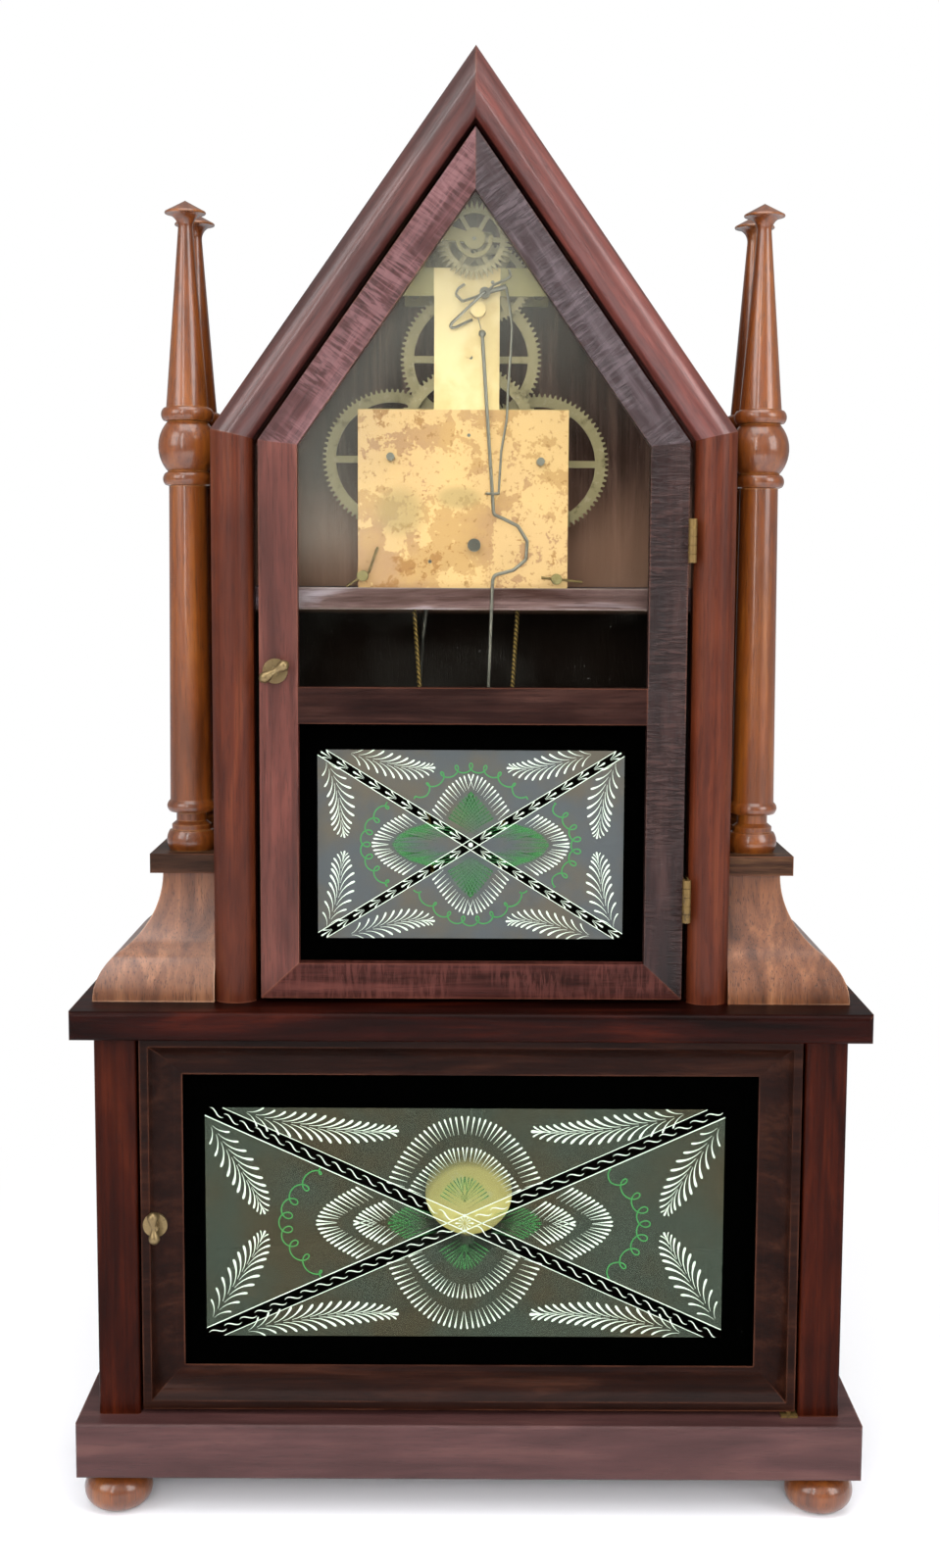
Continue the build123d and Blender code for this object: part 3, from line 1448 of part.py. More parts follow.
with BuildPart() as leaf_spring:
    with BuildSketch(front_plane(spring_front_y + spring_width)):
        for leaf in range(leaf_count):
            reach = asin(spring_span / 2 / spring_radius) * (1 - leaf_share_step * leaf)
            inner = spring_radius + leaf * spring_leaf_thickness
            outer = inner + spring_leaf_thickness
            with BuildLine():
                ThreePointArc(
                    (-inner * sin(reach), spring_centre_z - inner * cos(reach)),
                    (0, spring_centre_z - inner),
                    (inner * sin(reach), spring_centre_z - inner * cos(reach)),
                )
                Line(
                    (inner * sin(reach), spring_centre_z - inner * cos(reach)),
                    (outer * sin(reach), spring_centre_z - outer * cos(reach)),
                )
                ThreePointArc(
                    (outer * sin(reach), spring_centre_z - outer * cos(reach)),
                    (0, spring_centre_z - outer),
                    (-outer * sin(reach), spring_centre_z - outer * cos(reach)),
                )
                Line(
                    (-outer * sin(reach), spring_centre_z - outer * cos(reach)),
                    (-inner * sin(reach), spring_centre_z - inner * cos(reach)),
                )
            make_face()
    extrude(amount=spring_width)
    with BuildSketch(Plane.XY.offset(plinth_top)):
        with Locations((0, spring_front_y + spring_width / 2)):
            Rectangle(clamp_width, spring_width)
    extrude(amount=clamp_height + spring_leaf_thickness)
    with BuildSketch(front_plane(bracket_front_y + bracket_thickness)):
        with Locations((0, spring_top_z - spring_leaf_thickness + bracket_height / 2)):
            Rectangle(bracket_width, bracket_height + spring_leaf_thickness)
    extrude(amount=bracket_thickness)
finish(leaf_spring, "leaf_spring")

with BuildPart() as spring_levers:
    for side, inner_x in ((-1, left_chain_end_x), (1, right_chain_end_x)):
        outer_x = side * spring_span / 2
        lift = lever_height / 2
        with BuildSketch(front_plane(lever_y + lever_thickness / 2)):
            Polygon(
                (inner_x - side * lift, lever_z - lift),
                (inner_x - side * lift, lever_z + lift),
                (outer_x, lever_z - lever_drop + lift / 2),
                (outer_x, lever_z - lever_drop - lift / 2),
            )
        extrude(amount=lever_thickness)
        add_rod((side * lever_pivot_x, lever_z - lift / 2), lever_pin_radius, lever_y, bracket_front_y)
        link_x = outer_x - side * lever_height
        with BuildSketch(Plane.XY.offset(spring_end_z)):
            with Locations((link_x, lever_y)):
                Circle(link_radius)
        extrude(amount=lever_z - lever_drop - spring_end_z)
finish(spring_levers, "spring_levers")

# Brass chains from the drums to the inner ends of the levers
chain_x_offset = drum_core_radius + chain_radius + chain_seat
chain_end_z = lever_z + lever_height / 2
with BuildPart() as chains:
    add(
        wire(
            [
                (strike_place[0] + chain_x_offset, lever_y, strike_place[1]),
                (left_chain_end_x, lever_y, chain_end_z),
            ],
            chain_radius,
            hammer_bend,
        ).part
    )
    add(
        wire(
            [
                (great_place[0] - chain_x_offset, lever_y, great_place[1]),
                (right_chain_end_x, lever_y, chain_end_z),
            ],
            chain_radius,
            hammer_bend,
        ).part
    )
finish(chains, "spring_chains")
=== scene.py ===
from math import atan2, cos, hypot, pi, sin

import bpy
from mathutils import Matrix, Vector


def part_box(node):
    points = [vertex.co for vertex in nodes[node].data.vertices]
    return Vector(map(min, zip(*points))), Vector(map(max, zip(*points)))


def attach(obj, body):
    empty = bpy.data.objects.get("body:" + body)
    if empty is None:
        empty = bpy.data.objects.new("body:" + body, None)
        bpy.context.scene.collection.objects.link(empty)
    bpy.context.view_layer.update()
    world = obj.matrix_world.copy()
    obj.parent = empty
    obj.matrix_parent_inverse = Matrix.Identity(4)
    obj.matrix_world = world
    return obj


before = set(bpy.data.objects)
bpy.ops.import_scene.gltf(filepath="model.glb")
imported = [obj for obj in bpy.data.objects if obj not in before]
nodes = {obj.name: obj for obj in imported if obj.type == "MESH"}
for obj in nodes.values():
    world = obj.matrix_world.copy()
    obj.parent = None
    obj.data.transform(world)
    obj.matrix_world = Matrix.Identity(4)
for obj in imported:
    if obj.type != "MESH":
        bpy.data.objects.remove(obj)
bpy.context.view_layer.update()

mm = 0.001

# Camera: the photograph was taken from about 0.9 m in front, from 1 cm above the height of the seat
# board and tilted down, with a field 43.6 degrees tall.
eye = Vector((-2.8, -919.6, 436.6)) * mm
turn_left, tilt_down, lean = 0.002, 0.111, 0.005
focal_length, film_height = 45.0, 36.0

ahead = Vector((sin(turn_left) * cos(tilt_down), cos(turn_left) * cos(tilt_down), -sin(tilt_down)))
across = Vector((cos(turn_left), -sin(turn_left), 0))
upward = across.cross(ahead)
camera_right = across * cos(lean) + upward * sin(lean)
camera_up = upward * cos(lean) - across * sin(lean)
camera_data = bpy.data.cameras.new("camera")
camera_data.sensor_width = film_height
camera_data.lens = focal_length
camera_data.clip_start, camera_data.clip_end = 0.05, 50.0
camera = bpy.data.objects.new("camera", camera_data)
camera.matrix_world = Matrix((
    (camera_right.x, camera_up.x, -ahead.x, eye.x),
    (camera_right.y, camera_up.y, -ahead.y, eye.y),
    (camera_right.z, camera_up.z, -ahead.z, eye.z),
    (0, 0, 0, 1),
))
bpy.context.scene.collection.objects.link(camera)
bpy.context.scene.camera = camera
bpy.context.scene.view_settings.view_transform = "Standard"


# Studio: a pale table under soft lamps, in a white room. The table is white where it meets the
# room and keeps the clock's shadow near the feet.
def linear(colour):
    """Linear colour of an sRGB hex value."""
    shares = [int(colour[i:i + 2], 16) / 255 for i in (1, 3, 5)]
    return [s / 12.92 if s <= 0.04045 else ((s + 0.055) / 1.055) ** 2.4 for s in shares] + [1.0]


def add_node(tree, kind, inputs=None, **settings):
    """Adds a node with its settings; an input is a constant or the socket that feeds it."""
    node = tree.nodes.new(kind)
    for name, value in settings.items():
        setattr(node, name, value)
    for name, value in (inputs or {}).items():
        if isinstance(value, bpy.types.NodeSocket):
            tree.links.new(value, node.inputs[name])
        else:
            node.inputs[name].default_value = value
    return node


def new_material(name):
    """An empty material with its output node: the material, its tree and the output."""
    material = bpy.data.materials.new(name)
    material.use_nodes = True
    tree = material.node_tree
    tree.nodes.clear()
    return material, tree, add_node(tree, "ShaderNodeOutputMaterial")


def ramp(tree, factor, stops):
    """A colour ramp over a factor, with its stops as (place, sRGB hex)."""
    node = add_node(tree, "ShaderNodeValToRGB", {"Fac": factor})
    elements = node.color_ramp.elements
    while len(elements) < len(stops):
        elements.new(1.0)
    for element, (place, colour) in zip(elements, stops):
        element.position = place
        element.color = linear(colour)
    return node.outputs["Color"]


def mask(tree, value, low, high):
    """0 below low and 1 above high, smooth between."""
    node = add_node(tree, "ShaderNodeMapRange", {"Value": value, "From Min": low, "From Max": high},
                    interpolation_type="SMOOTHSTEP")
    return node.outputs["Result"]


def math(tree, operation, first, second):
    """The result of one sum on two values or sockets."""
    return add_node(tree, "ShaderNodeMath", {0: first, 1: second}, operation=operation).outputs[0]


def blend(tree, factor, first, second):
    """Two colours mixed by a factor."""
    node = add_node(tree, "ShaderNodeMix", {0: factor, 6: first, 7: second},
                    data_type="RGBA", clamp_factor=True)
    return node.outputs[2]


def mesh_piece(name, vertices, faces, material):
    """A flat-faced mesh object from vertices in metres."""
    mesh = bpy.data.meshes.new(name)
    mesh.from_pydata(vertices, [], faces)
    mesh.materials.append(material)
    mesh.update()
    piece = bpy.data.objects.new(name, mesh)
    bpy.context.scene.collection.objects.link(piece)
    return piece


def seen_directly(tree):
    """1 for what the camera sees, also through glass, and 0 for the light that falls on things."""
    rays = add_node(tree, "ShaderNodeLightPath").outputs
    return math(tree, "MAXIMUM", rays["Is Camera Ray"], rays["Is Transmission Ray"])


table_half, table_drop = 6.0, 0.4 * mm
table_white, table_shade = "#ffffff", "#eeeef2"
footprint_half = (165 * mm, 45 * mm, 0.0)
material, tree, output = new_material("table_white_paper")
place = add_node(tree, "ShaderNodeTexCoord").outputs["Object"]
from_middle = add_node(tree, "ShaderNodeVectorMath", {0: place}, operation="ABSOLUTE").outputs[0]
off_clock = add_node(tree, "ShaderNodeVectorMath", {0: from_middle, 1: footprint_half},
                     operation="SUBTRACT").outputs[0]
off_clock = add_node(tree, "ShaderNodeVectorMath", {0: off_clock, 1: (0.0, 0.0, 0.0)},
                     operation="MAXIMUM").outputs[0]
distance = add_node(tree, "ShaderNodeVectorMath", {0: off_clock}, operation="LENGTH").outputs["Value"]
paper = add_node(tree, "ShaderNodeBsdfDiffuse", {"Color": linear(table_shade)}).outputs[0]
glow = add_node(tree, "ShaderNodeEmission", {"Color": linear(table_white), "Strength": 1.0}).outputs[0]
near_glow = math(tree, "MULTIPLY", mask(tree, distance, 10 * mm, 60 * mm), 0.45)
far_glow = mask(tree, distance, 20 * mm, 500 * mm)
far = math(tree, "MULTIPLY", seen_directly(tree), math(tree, "MAXIMUM", far_glow, near_glow))
tree.links.new(add_node(tree, "ShaderNodeMixShader", {0: far, 1: paper, 2: glow}).outputs[0],
               output.inputs["Surface"])
table = mesh_piece("table", [(-table_half, -table_half, -table_drop), (table_half, -table_half, -table_drop),
                             (table_half, table_half, -table_drop), (-table_half, table_half, -table_drop)],
                   [(0, 1, 2, 3)], material)

world = bpy.data.worlds.new("white_room")
world.use_nodes = True
tree = world.node_tree
tree.nodes.clear()
room_light = 0.40
room = add_node(tree, "ShaderNodeBackground", {"Color": linear("#ffffff"), "Strength": room_light}).outputs[0]
white = add_node(tree, "ShaderNodeBackground", {"Color": linear("#ffffff"), "Strength": 1.0}).outputs[0]
tree.links.new(add_node(tree, "ShaderNodeMixShader", {0: seen_directly(tree), 1: room, 2: white}).outputs[0],
               add_node(tree, "ShaderNodeOutputWorld").inputs["Surface"])
bpy.context.scene.world = world


def soft_lamp(name, at, aim, width, height, power, mirrored=True):
    """A rectangular lamp that faces a point; polish and glass show it only where it is mirrored."""
    data = bpy.data.lights.new(name, "AREA")
    data.shape, data.size, data.size_y, data.energy = "RECTANGLE", width, height, power
    lamp = bpy.data.objects.new(name, data)
    lamp.location = at
    lamp.rotation_euler = (Vector(aim) - Vector(at)).to_track_quat("-Z", "Y").to_euler()
    lamp.visible_glossy = mirrored
    bpy.context.scene.collection.objects.link(lamp)


soft_lamp("lamp_left", (-1.5, -1.3, 1.2), (0, 0, 0.3), 1.0, 1.3, 20)
soft_lamp("lamp_right", (1.5, -1.3, 1.1), (0, 0, 0.3), 1.0, 1.3, 24)
soft_lamp("lamp_above", (0, -0.6, 1.9), (0, 0, 0.3), 1.6, 1.0, 22)
soft_lamp("lamp_front", (0, -1.5, 0.62), (0, 0, 0.36), 0.6, 0.6, 19, mirrored=False)
soft_lamp("lamp_behind", (0.6, 1.9, 1.3), (0, 0, 0.3), 1.2, 1.0, 12, mirrored=False)
soft_lamp("lamp_strip", (-0.5, -1.4, 0.95), (0, 0, 0.4), 0.14, 1.2, 6)

# Dark screen: black cloth behind the camera, which only polish and glass show. It keeps the room's
# white off them.
screen_half, screen_y, screen_bottom, screen_top = 1.3, -2.1, -0.1, 0.98
material, tree, output = new_material("dark_screen_cloth")
cloth = add_node(tree, "ShaderNodeEmission", {"Color": linear("#0c0b0b"), "Strength": 1.0}).outputs[0]
tree.links.new(cloth, output.inputs["Surface"])
screen = mesh_piece("dark_screen", [
    (-screen_half, screen_y, screen_bottom), (screen_half, screen_y, screen_bottom),
    (screen_half, screen_y, screen_top), (-screen_half, screen_y, screen_top)], [(0, 1, 2, 3)], material)
screen.visible_camera = screen.visible_diffuse = screen.visible_shadow = screen.visible_transmission = False


# Wood of the case: sawn mahogany veneer glued over pine and finished with many coats of shellac,
# now dark and a little uneven. Long pores run with the grain, and the edges have worn paler.
ALONG_X, ALONG_Y, ALONG_Z = (0, 0, 0), (0, 0, pi / 2), (0, -pi / 2, 0)


def veneer(name, dark, middle, light, grain, roughness=0.36, ripple=0.0, pore=0.32, coat=0.03, wear="#6a3e2c",
           gloss=0.06, streak=0.4, shaded_below=0.0):
    """Polished wood with its grain along the local x of a turn. Ripple is the depth of a cross figure
    in mm, streak the strength of dark streaks and gloss that of the varnish's mirror. A board given a
    height as its last argument gets painted light, a pale tone, up to a little over that height, and
    painted shade, nearly black, below it on its inner side."""
    material, tree, output = new_material(name)
    place = add_node(tree, "ShaderNodeTexCoord").outputs["Object"]

    def grained(length, width):
        """Object coordinates in units of a pattern's length along the grain and its width across it."""
        return add_node(tree, "ShaderNodeMapping", {
            "Vector": place, "Rotation": grain, "Scale": (length * mm, width * mm, width * mm)},
            vector_type="TEXTURE").outputs[0]

    figure = add_node(tree, "ShaderNodeTexNoise", {
        "Vector": grained(90, 11), "Scale": 1.0, "Detail": 4.0, "Roughness": 0.6, "Distortion": 0.6})
    colour = ramp(tree, figure.outputs["Fac"], [(0.30, dark), (0.52, middle), (0.74, light)])
    band = add_node(tree, "ShaderNodeTexNoise", {
        "Vector": grained(160, 2.2), "Scale": 1.0, "Detail": 3.0, "Roughness": 0.55})
    colour = blend(tree, math(tree, "MULTIPLY", mask(tree, band.outputs["Fac"], 0.42, 0.62), streak),
                   colour, linear(dark))
    pores = add_node(tree, "ShaderNodeTexNoise", {
        "Vector": grained(9, 0.55), "Scale": 1.0, "Detail": 2.0, "Roughness": 0.5})
    pore_mask = mask(tree, pores.outputs["Fac"], 0.56, 0.66)
    colour = blend(tree, math(tree, "MULTIPLY", pore_mask, pore), colour, linear("#0d0605"))
    cloud = add_node(tree, "ShaderNodeTexNoise", {
        "Vector": place, "Scale": 14.0, "Detail": 3.0, "Roughness": 0.6})
    colour = blend(tree, math(tree, "MULTIPLY", mask(tree, cloud.outputs["Fac"], 0.45, 0.7), 0.45),
                   colour, linear(dark))
    # Painted light, a pale tone up to a little over the given height, and painted shade, nearly black, below
    # that height except on the board's back face.
    if shaded_below:
        board_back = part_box("upper_back")[1].y
        at = add_node(tree, "ShaderNodeSeparateXYZ", {0: place}).outputs
        painted_light_band = math(tree, "SUBTRACT", 1.0, mask(tree, at["Z"], shaded_below + 25 * mm, shaded_below + 75 * mm))
        colour = blend(tree, math(tree, "MULTIPLY", painted_light_band, 0.55), colour, linear("#a88070"))
        unshaded = math(tree, "MAXIMUM", mask(tree, at["Z"], shaded_below - 4 * mm, shaded_below),
                     mask(tree, at["Y"], board_back - 2 * mm, board_back - 1 * mm))
        colour = blend(tree, unshaded, linear("#120c0a"), colour)
    height = math(tree, "MULTIPLY", pore_mask, -0.05 * mm)
    if ripple:
        wrinkle = add_node(tree, "ShaderNodeTexNoise", {
            "Vector": grained(1.9, 14), "Scale": 1.0, "Detail": 4.0, "Roughness": 0.6, "Distortion": 0.8})
        patch = add_node(tree, "ShaderNodeTexNoise", {"Vector": grained(22, 12), "Scale": 1.0, "Detail": 2.0})
        patch_mask = mask(tree, patch.outputs["Fac"], 0.3, 0.62)
        swell = math(tree, "MULTIPLY", mask(tree, wrinkle.outputs["Fac"], 0.42, 0.60), patch_mask)
        height = math(tree, "ADD", height, math(tree, "MULTIPLY", swell, ripple * mm))
        # The ridges are also painted in the light colour, a painted highlight along each ridge.
        colour = blend(tree, math(tree, "MULTIPLY", swell, 0.5), colour, linear(light))
    shellac = add_node(tree, "ShaderNodeTexNoise", {
        "Vector": place, "Scale": 260.0, "Detail": 2.0, "Roughness": 0.5})
    height = math(tree, "ADD", height, math(tree, "MULTIPLY", shellac.outputs["Fac"], 0.05 * mm))
    eased = add_node(tree, "ShaderNodeBevel", {"Radius": 1.4 * mm}, samples=4).outputs[0]
    flat = add_node(tree, "ShaderNodeNewGeometry").outputs["Normal"]
    turned = add_node(tree, "ShaderNodeVectorMath", {0: eased, 1: flat},
                      operation="DOT_PRODUCT").outputs["Value"]
    edge = math(tree, "MULTIPLY", math(tree, "SUBTRACT", 1.0, mask(tree, turned, 0.72, 0.99)),
                mask(tree, cloud.outputs["Fac"], 0.35, 0.6))
    colour = blend(tree, math(tree, "MULTIPLY", edge, 0.6), colour, linear(wear))
    dull = math(tree, "ADD", roughness, math(tree, "MULTIPLY", cloud.outputs["Fac"], 0.14))
    bump = add_node(tree, "ShaderNodeBump", {"Strength": 1.0, "Distance": 1.0, "Height": height})
    surface = add_node(tree, "ShaderNodeBsdfPrincipled", {
        "Base Color": colour, "Roughness": dull, "IOR": 1.5, "Specular IOR Level": gloss, "Coat Weight": coat,
        "Coat Roughness": 0.14, "Normal": bump.outputs[0]})
    tree.links.new(surface.outputs[0], output.inputs["Surface"])
    return material


def finish_with(material, *names):
    """Gives CAD nodes a material in their slots."""
    for name in names:
        data = nodes[name].data
        if not data.materials:
            data.materials.append(material)
        for index in range(len(data.materials)):
            data.materials[index] = material


# Plinth, shelf and cap boards: flat boards veneered on their faces and edges, glued and nailed to
# the case. Their grain runs from side to side.
board_veneer = veneer("dark_mahogany_of_shelf", "#0a0100", "#1f0502", "#3b1106", ALONG_X)
finish_with(board_veneer, "shelf")
cap_veneer = veneer("dark_mahogany_of_cap_boards", "#18100b", "#3b261c", "#664830", ALONG_X)
finish_with(cap_veneer, "cap_board_left", "cap_board_right")
plinth_veneer = veneer("worn_mahogany_plinth", "#351e1d", "#452a29", "#553733", ALONG_X,
                       roughness=0.42, pore=0.2, gloss=0.3, streak=0.2, wear="#8a5a4a")
finish_with(plinth_veneer, "plinth")

# Feet and steeples: hardwood turned on a lathe, stained warm brown and varnished to a high gloss.
# The feet are glued under the plinth, and the steeples stand on the cap boards.
turned_wood = veneer("varnished_turned_wood", "#421e07", "#6a350f", "#864c16", ALONG_Z,
                     roughness=0.3, pore=0.35, coat=0.6, wear="#a87442", gloss=0.5, streak=0.35)
for piece in ("foot", "steeple"):
    for row in ("front", "back"):
        finish_with(turned_wood, f"{piece}_{row}_left", f"{piece}_{row}_right")

# Ogee blocks: pine sawn to a double curve and veneered with the grain upright, so that it bends
# over the curve. Glued beside the upper case.
ogee_veneer = veneer("upright_mahogany_veneer", "#3a1d0d", "#663d24", "#875a3b", ALONG_Z, roughness=0.34,
                     pore=0.5, coat=0.3, wear="#c09a7c", gloss=0.5, streak=0.3)
finish_with(ogee_veneer, "ogee_block_left", "ogee_block_right")

# Base and upper case walls: pine boards veneered outside and rubbed with shellac, the back boards
# and the seat board left bare. Half-round posts and rakes are glued on in front.
side_veneer = veneer("dark_mahogany_of_base", "#140301", "#2f0c03", "#461908", ALONG_Z)
finish_with(side_veneer, "lower_side_left", "lower_side_right")
wall_veneer = veneer("mahogany_of_upper_walls", "#240a05", "#4c1e10", "#6e3420", ALONG_Z)
finish_with(wall_veneer, "upper_side_left", "upper_side_right")
post_veneer = veneer("mahogany_of_upper_posts", "#2a0c04", "#4d200f", "#602f18", ALONG_Z, gloss=0.2)
finish_with(post_veneer, "upper_post_left", "upper_post_right")
roof_run, roof_rise = 117.2, 165.3
roof_slope = atan2(roof_rise, roof_run)
# Each side has its own copy of the colours: the left rake and roof board are darker, as painted shade on the
# left side.
for side, turn, colours in (("left", -roof_slope, ("#250d0a", "#45201b", "#5e3530")),
                            ("right", roof_slope, ("#33120e", "#5a2922", "#79423a"))):
    rake_veneer = veneer(f"mahogany_veneer_of_{side}_rake", *colours, (0, turn, 0), coat=0.3, gloss=0.6)
    finish_with(rake_veneer, f"rake_moulding_{side}")
    roof_veneer = veneer(f"mahogany_veneer_of_{side}_roof_board", *colours, ALONG_Y, roughness=0.5, coat=0.0)
    finish_with(roof_veneer, f"roof_board_{side}")
# The lining gets painted light just over the seat board and painted shade below it.
pine = veneer("shaded_case_lining", "#2c1f1d", "#523d39", "#7a5e58", ALONG_Z, roughness=0.7, coat=0.0,
              wear="#6a5448", gloss=0.1, shaded_below=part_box("seat_board")[0].z)
finish_with(pine, "lower_back", "upper_back")
# The pale bluish light and middle tones of the seat board are a painted sheen.
seat_wood = veneer("worn_seat_board_painted_sheen", "#382523", "#765f63", "#bdb2c6", ALONG_X, roughness=0.6, coat=0.0,
                   wear="#a59a98")
finish_with(seat_wood, "seat_board")

# Upper door: veneered stiles, rakes and rails, mitred and glued round the glass. The right-hand
# stile and rake show a cross ripple in the veneer.
rippled = veneer("rippled_mahogany_stile", "#0d0302", "#1d0806", "#3a2420", ALONG_Z, ripple=0.8, gloss=0.35)
finish_with(rippled, "upper_door_stile_right")
rippled_rake = veneer("rippled_mahogany_rake", "#1e1010", "#2a1b1d", "#53464a", (0, roof_slope, 0),
                      ripple=0.7, gloss=0.5)
finish_with(rippled_rake, "upper_door_rake_right")
plain_rake = veneer("mahogany_of_left_door_rake", "#1c0906", "#3e1e1d", "#724f51", (0, -roof_slope, 0),
                    ripple=0.03, gloss=0.35)
finish_with(plain_rake, "upper_door_rake_left")
rail_veneer = veneer("mahogany_of_door_rails", "#1a0907", "#3a1c18", "#57302a", ALONG_X, ripple=0.04)
finish_with(rail_veneer, "upper_door_bottom_rail")
dark_rail_veneer = veneer("dark_mahogany_of_middle_rail", "#0f0504", "#261410", "#3a241e", ALONG_X)
finish_with(dark_rail_veneer, "upper_door_middle_rail")
stile_veneer = veneer("mahogany_of_left_stile", "#2d110b", "#522820", "#66392e", ALONG_Z, gloss=0.3)
finish_with(stile_veneer, "upper_door_stile_left")

# Lower door: a wide frame with a hollow moulding round the tablet, in very dark veneer. It is
# mitred at the corners and hangs on pins at its right edge.
frame_veneer = veneer("very_dark_mahogany_frame", "#0d0301", "#1e0a04", "#351b10", ALONG_X,
                      pore=0.4, coat=0.05)
finish_with(frame_veneer, "lower_door_frame")


# Brass: rolled and cast brass that has been handled and stained. Old oil has left brown and olive
# patches, and rubbing has left paler ones.
arbor_radius = 2.6 * mm


def away_from(tree, place, x, z):
    """Distance of a place from an axis that runs from front to back."""
    flat = add_node(tree, "ShaderNodeVectorMath", {0: place, 1: (1.0, 0.0, 1.0)}, operation="MULTIPLY")
    return add_node(tree, "ShaderNodeVectorMath", {0: flat.outputs[0], 1: (x, 0.0, z)},
                    operation="DISTANCE").outputs["Value"]


def old_brass(name, base, stain, pale, roughness=0.34, stain_scale=55.0, amount=0.8, bare=1.0, axes=()):
    """Tarnished brass with stains of a size in patches per metre, and steel round each arbor's axis."""
    material, tree, output = new_material(name)
    place = add_node(tree, "ShaderNodeTexCoord").outputs["Object"]
    stains = add_node(tree, "ShaderNodeTexNoise", {
        "Vector": place, "Scale": stain_scale, "Detail": 6.0, "Roughness": 0.68})
    stained = mask(tree, stains.outputs["Fac"], 0.55, 0.66)
    rubbed = add_node(tree, "ShaderNodeTexNoise", {
        "Vector": place, "Scale": stain_scale * 2.6, "Detail": 5.0, "Roughness": 0.7})
    worn = mask(tree, rubbed.outputs["Fac"], 0.56, 0.68)
    colour = blend(tree, math(tree, "MULTIPLY", worn, 0.6), linear(base), linear(pale))
    colour = blend(tree, math(tree, "MULTIPLY", stained, amount), colour, linear(stain))
    for x, z in axes:
        beyond = mask(tree, away_from(tree, place, x, z), arbor_radius, arbor_radius + 0.1 * mm)
        colour = blend(tree, beyond, linear("#6c6a66"), colour)
    speck = add_node(tree, "ShaderNodeTexNoise", {"Vector": place, "Scale": 1400.0, "Detail": 2.0})
    height = math(tree, "MULTIPLY", speck.outputs["Fac"], 0.02 * mm)
    bump = add_node(tree, "ShaderNodeBump", {"Strength": 1.0, "Distance": 1.0, "Height": height})
    dull = math(tree, "ADD", roughness, math(tree, "MULTIPLY", stained, 0.2))
    metal = math(tree, "SUBTRACT", bare, math(tree, "MULTIPLY", stained, 0.35 * bare))
    surface = add_node(tree, "ShaderNodeBsdfPrincipled", {
        "Base Color": colour, "Metallic": metal, "Specular IOR Level": 0.5, "Roughness": dull,
        "Normal": bump.outputs[0]})
    tree.links.new(surface.outputs[0], output.inputs["Surface"])
    return material


# Front plate: rolled brass sheet that carries the pivots, pinned to the pillars. Its lacquer has
# broken up into islands over the wide lower half, and the narrow strip above has stayed pale yellow;
# the crosspiece on either side of the strip is painted darker, as painted shade.
plate_step = 507.5 * mm
strip_left, strip_right = -18.5 * mm, 11.7 * mm


def lacquered_plate():
    """The plate's material; each pattern has a size in islands per metre."""
    material, tree, output = new_material("lacquered_plate_brass")
    place = add_node(tree, "ShaderNodeTexCoord").outputs["Object"]
    at = add_node(tree, "ShaderNodeSeparateXYZ", {0: place}).outputs

    def islands(scale, low, high, detail=8.0, roughness=0.62, shift=0.0):
        """A mask of islands; shift moves the pattern."""
        moved = add_node(tree, "ShaderNodeVectorMath", {0: place, 1: (shift, 0.0, shift)}, operation="ADD")
        noise = add_node(tree, "ShaderNodeTexNoise", {
            "Vector": moved.outputs[0], "Scale": scale, "Detail": detail, "Roughness": roughness})
        return mask(tree, noise.outputs["Fac"], low, high)

    def soft_spot(x, z, wide, tall):
        """A blurred oval at a place on the plate in mm."""
        away = add_node(tree, "ShaderNodeMapping", {
            "Vector": place, "Location": (-x / wide, 0.0, -z / tall),
            "Scale": (1 / (wide * mm), 0.0, 1 / (tall * mm))}, vector_type="POINT").outputs[0]
        far = add_node(tree, "ShaderNodeVectorMath", {0: away}, operation="LENGTH").outputs["Value"]
        return math(tree, "SUBTRACT", 1.0, mask(tree, far, 0.45, 1.15))

    def covered(below, where, amount, cover):
        """A colour laid over another by an amount where a mask says."""
        return blend(tree, math(tree, "MULTIPLY", where, amount), below, linear(cover))

    colour = blend(tree, islands(22.0, 0.42, 0.6, shift=1.7), linear("#ac885c"), linear("#9e7a5c"))
    fringe = islands(38.0, 0.5, 0.512, roughness=0.7)
    colour = covered(colour, fringe, 0.62, "#cfae80")
    colour = covered(colour, islands(44.0, 0.585, 0.595, roughness=0.72, shift=4.2), 0.7, "#86592c")
    colour = covered(colour, islands(420.0, 0.60, 0.68, 3.0), 0.5, "#7a5028")
    for x, z, wide, tall in ((-33.9, 461.0, 13.0, 13.0), (-7.0, 467.5, 12.0, 6.0)):
        colour = covered(colour, soft_spot(x, z, wide, tall), 0.6, "#8d7b55")
    strip = blend(tree, islands(30.0, 0.4, 0.62, shift=3.3), linear("#d5c096"), linear("#c4ab7b"))
    edge = 0.2 * mm
    # The crosspiece beside the strip is painted darker, as painted shade.
    left_of_strip = math(tree, "SUBTRACT", 1.0, mask(tree, at["X"], strip_left - edge, strip_left + edge))
    right_of_strip = mask(tree, at["X"], strip_right - edge, strip_right + edge)
    strip = blend(tree, math(tree, "MAXIMUM", left_of_strip, right_of_strip), strip, linear("#817851"))
    below_step = math(tree, "SUBTRACT", 1.0,
                      mask(tree, at["Z"], plate_step - 0.3 * mm, plate_step + 0.3 * mm))
    surface = add_node(tree, "ShaderNodeBsdfPrincipled", {
        "Base Color": blend(tree, below_step, strip, colour), "Metallic": 0.15, "Specular IOR Level": 0.4,
        "Roughness": math(tree, "ADD", 0.42, math(tree, "MULTIPLY", fringe, 0.12))})
    tree.links.new(surface.outputs[0], output.inputs["Surface"])
    return material


finish_with(lacquered_plate(), "front_plate")

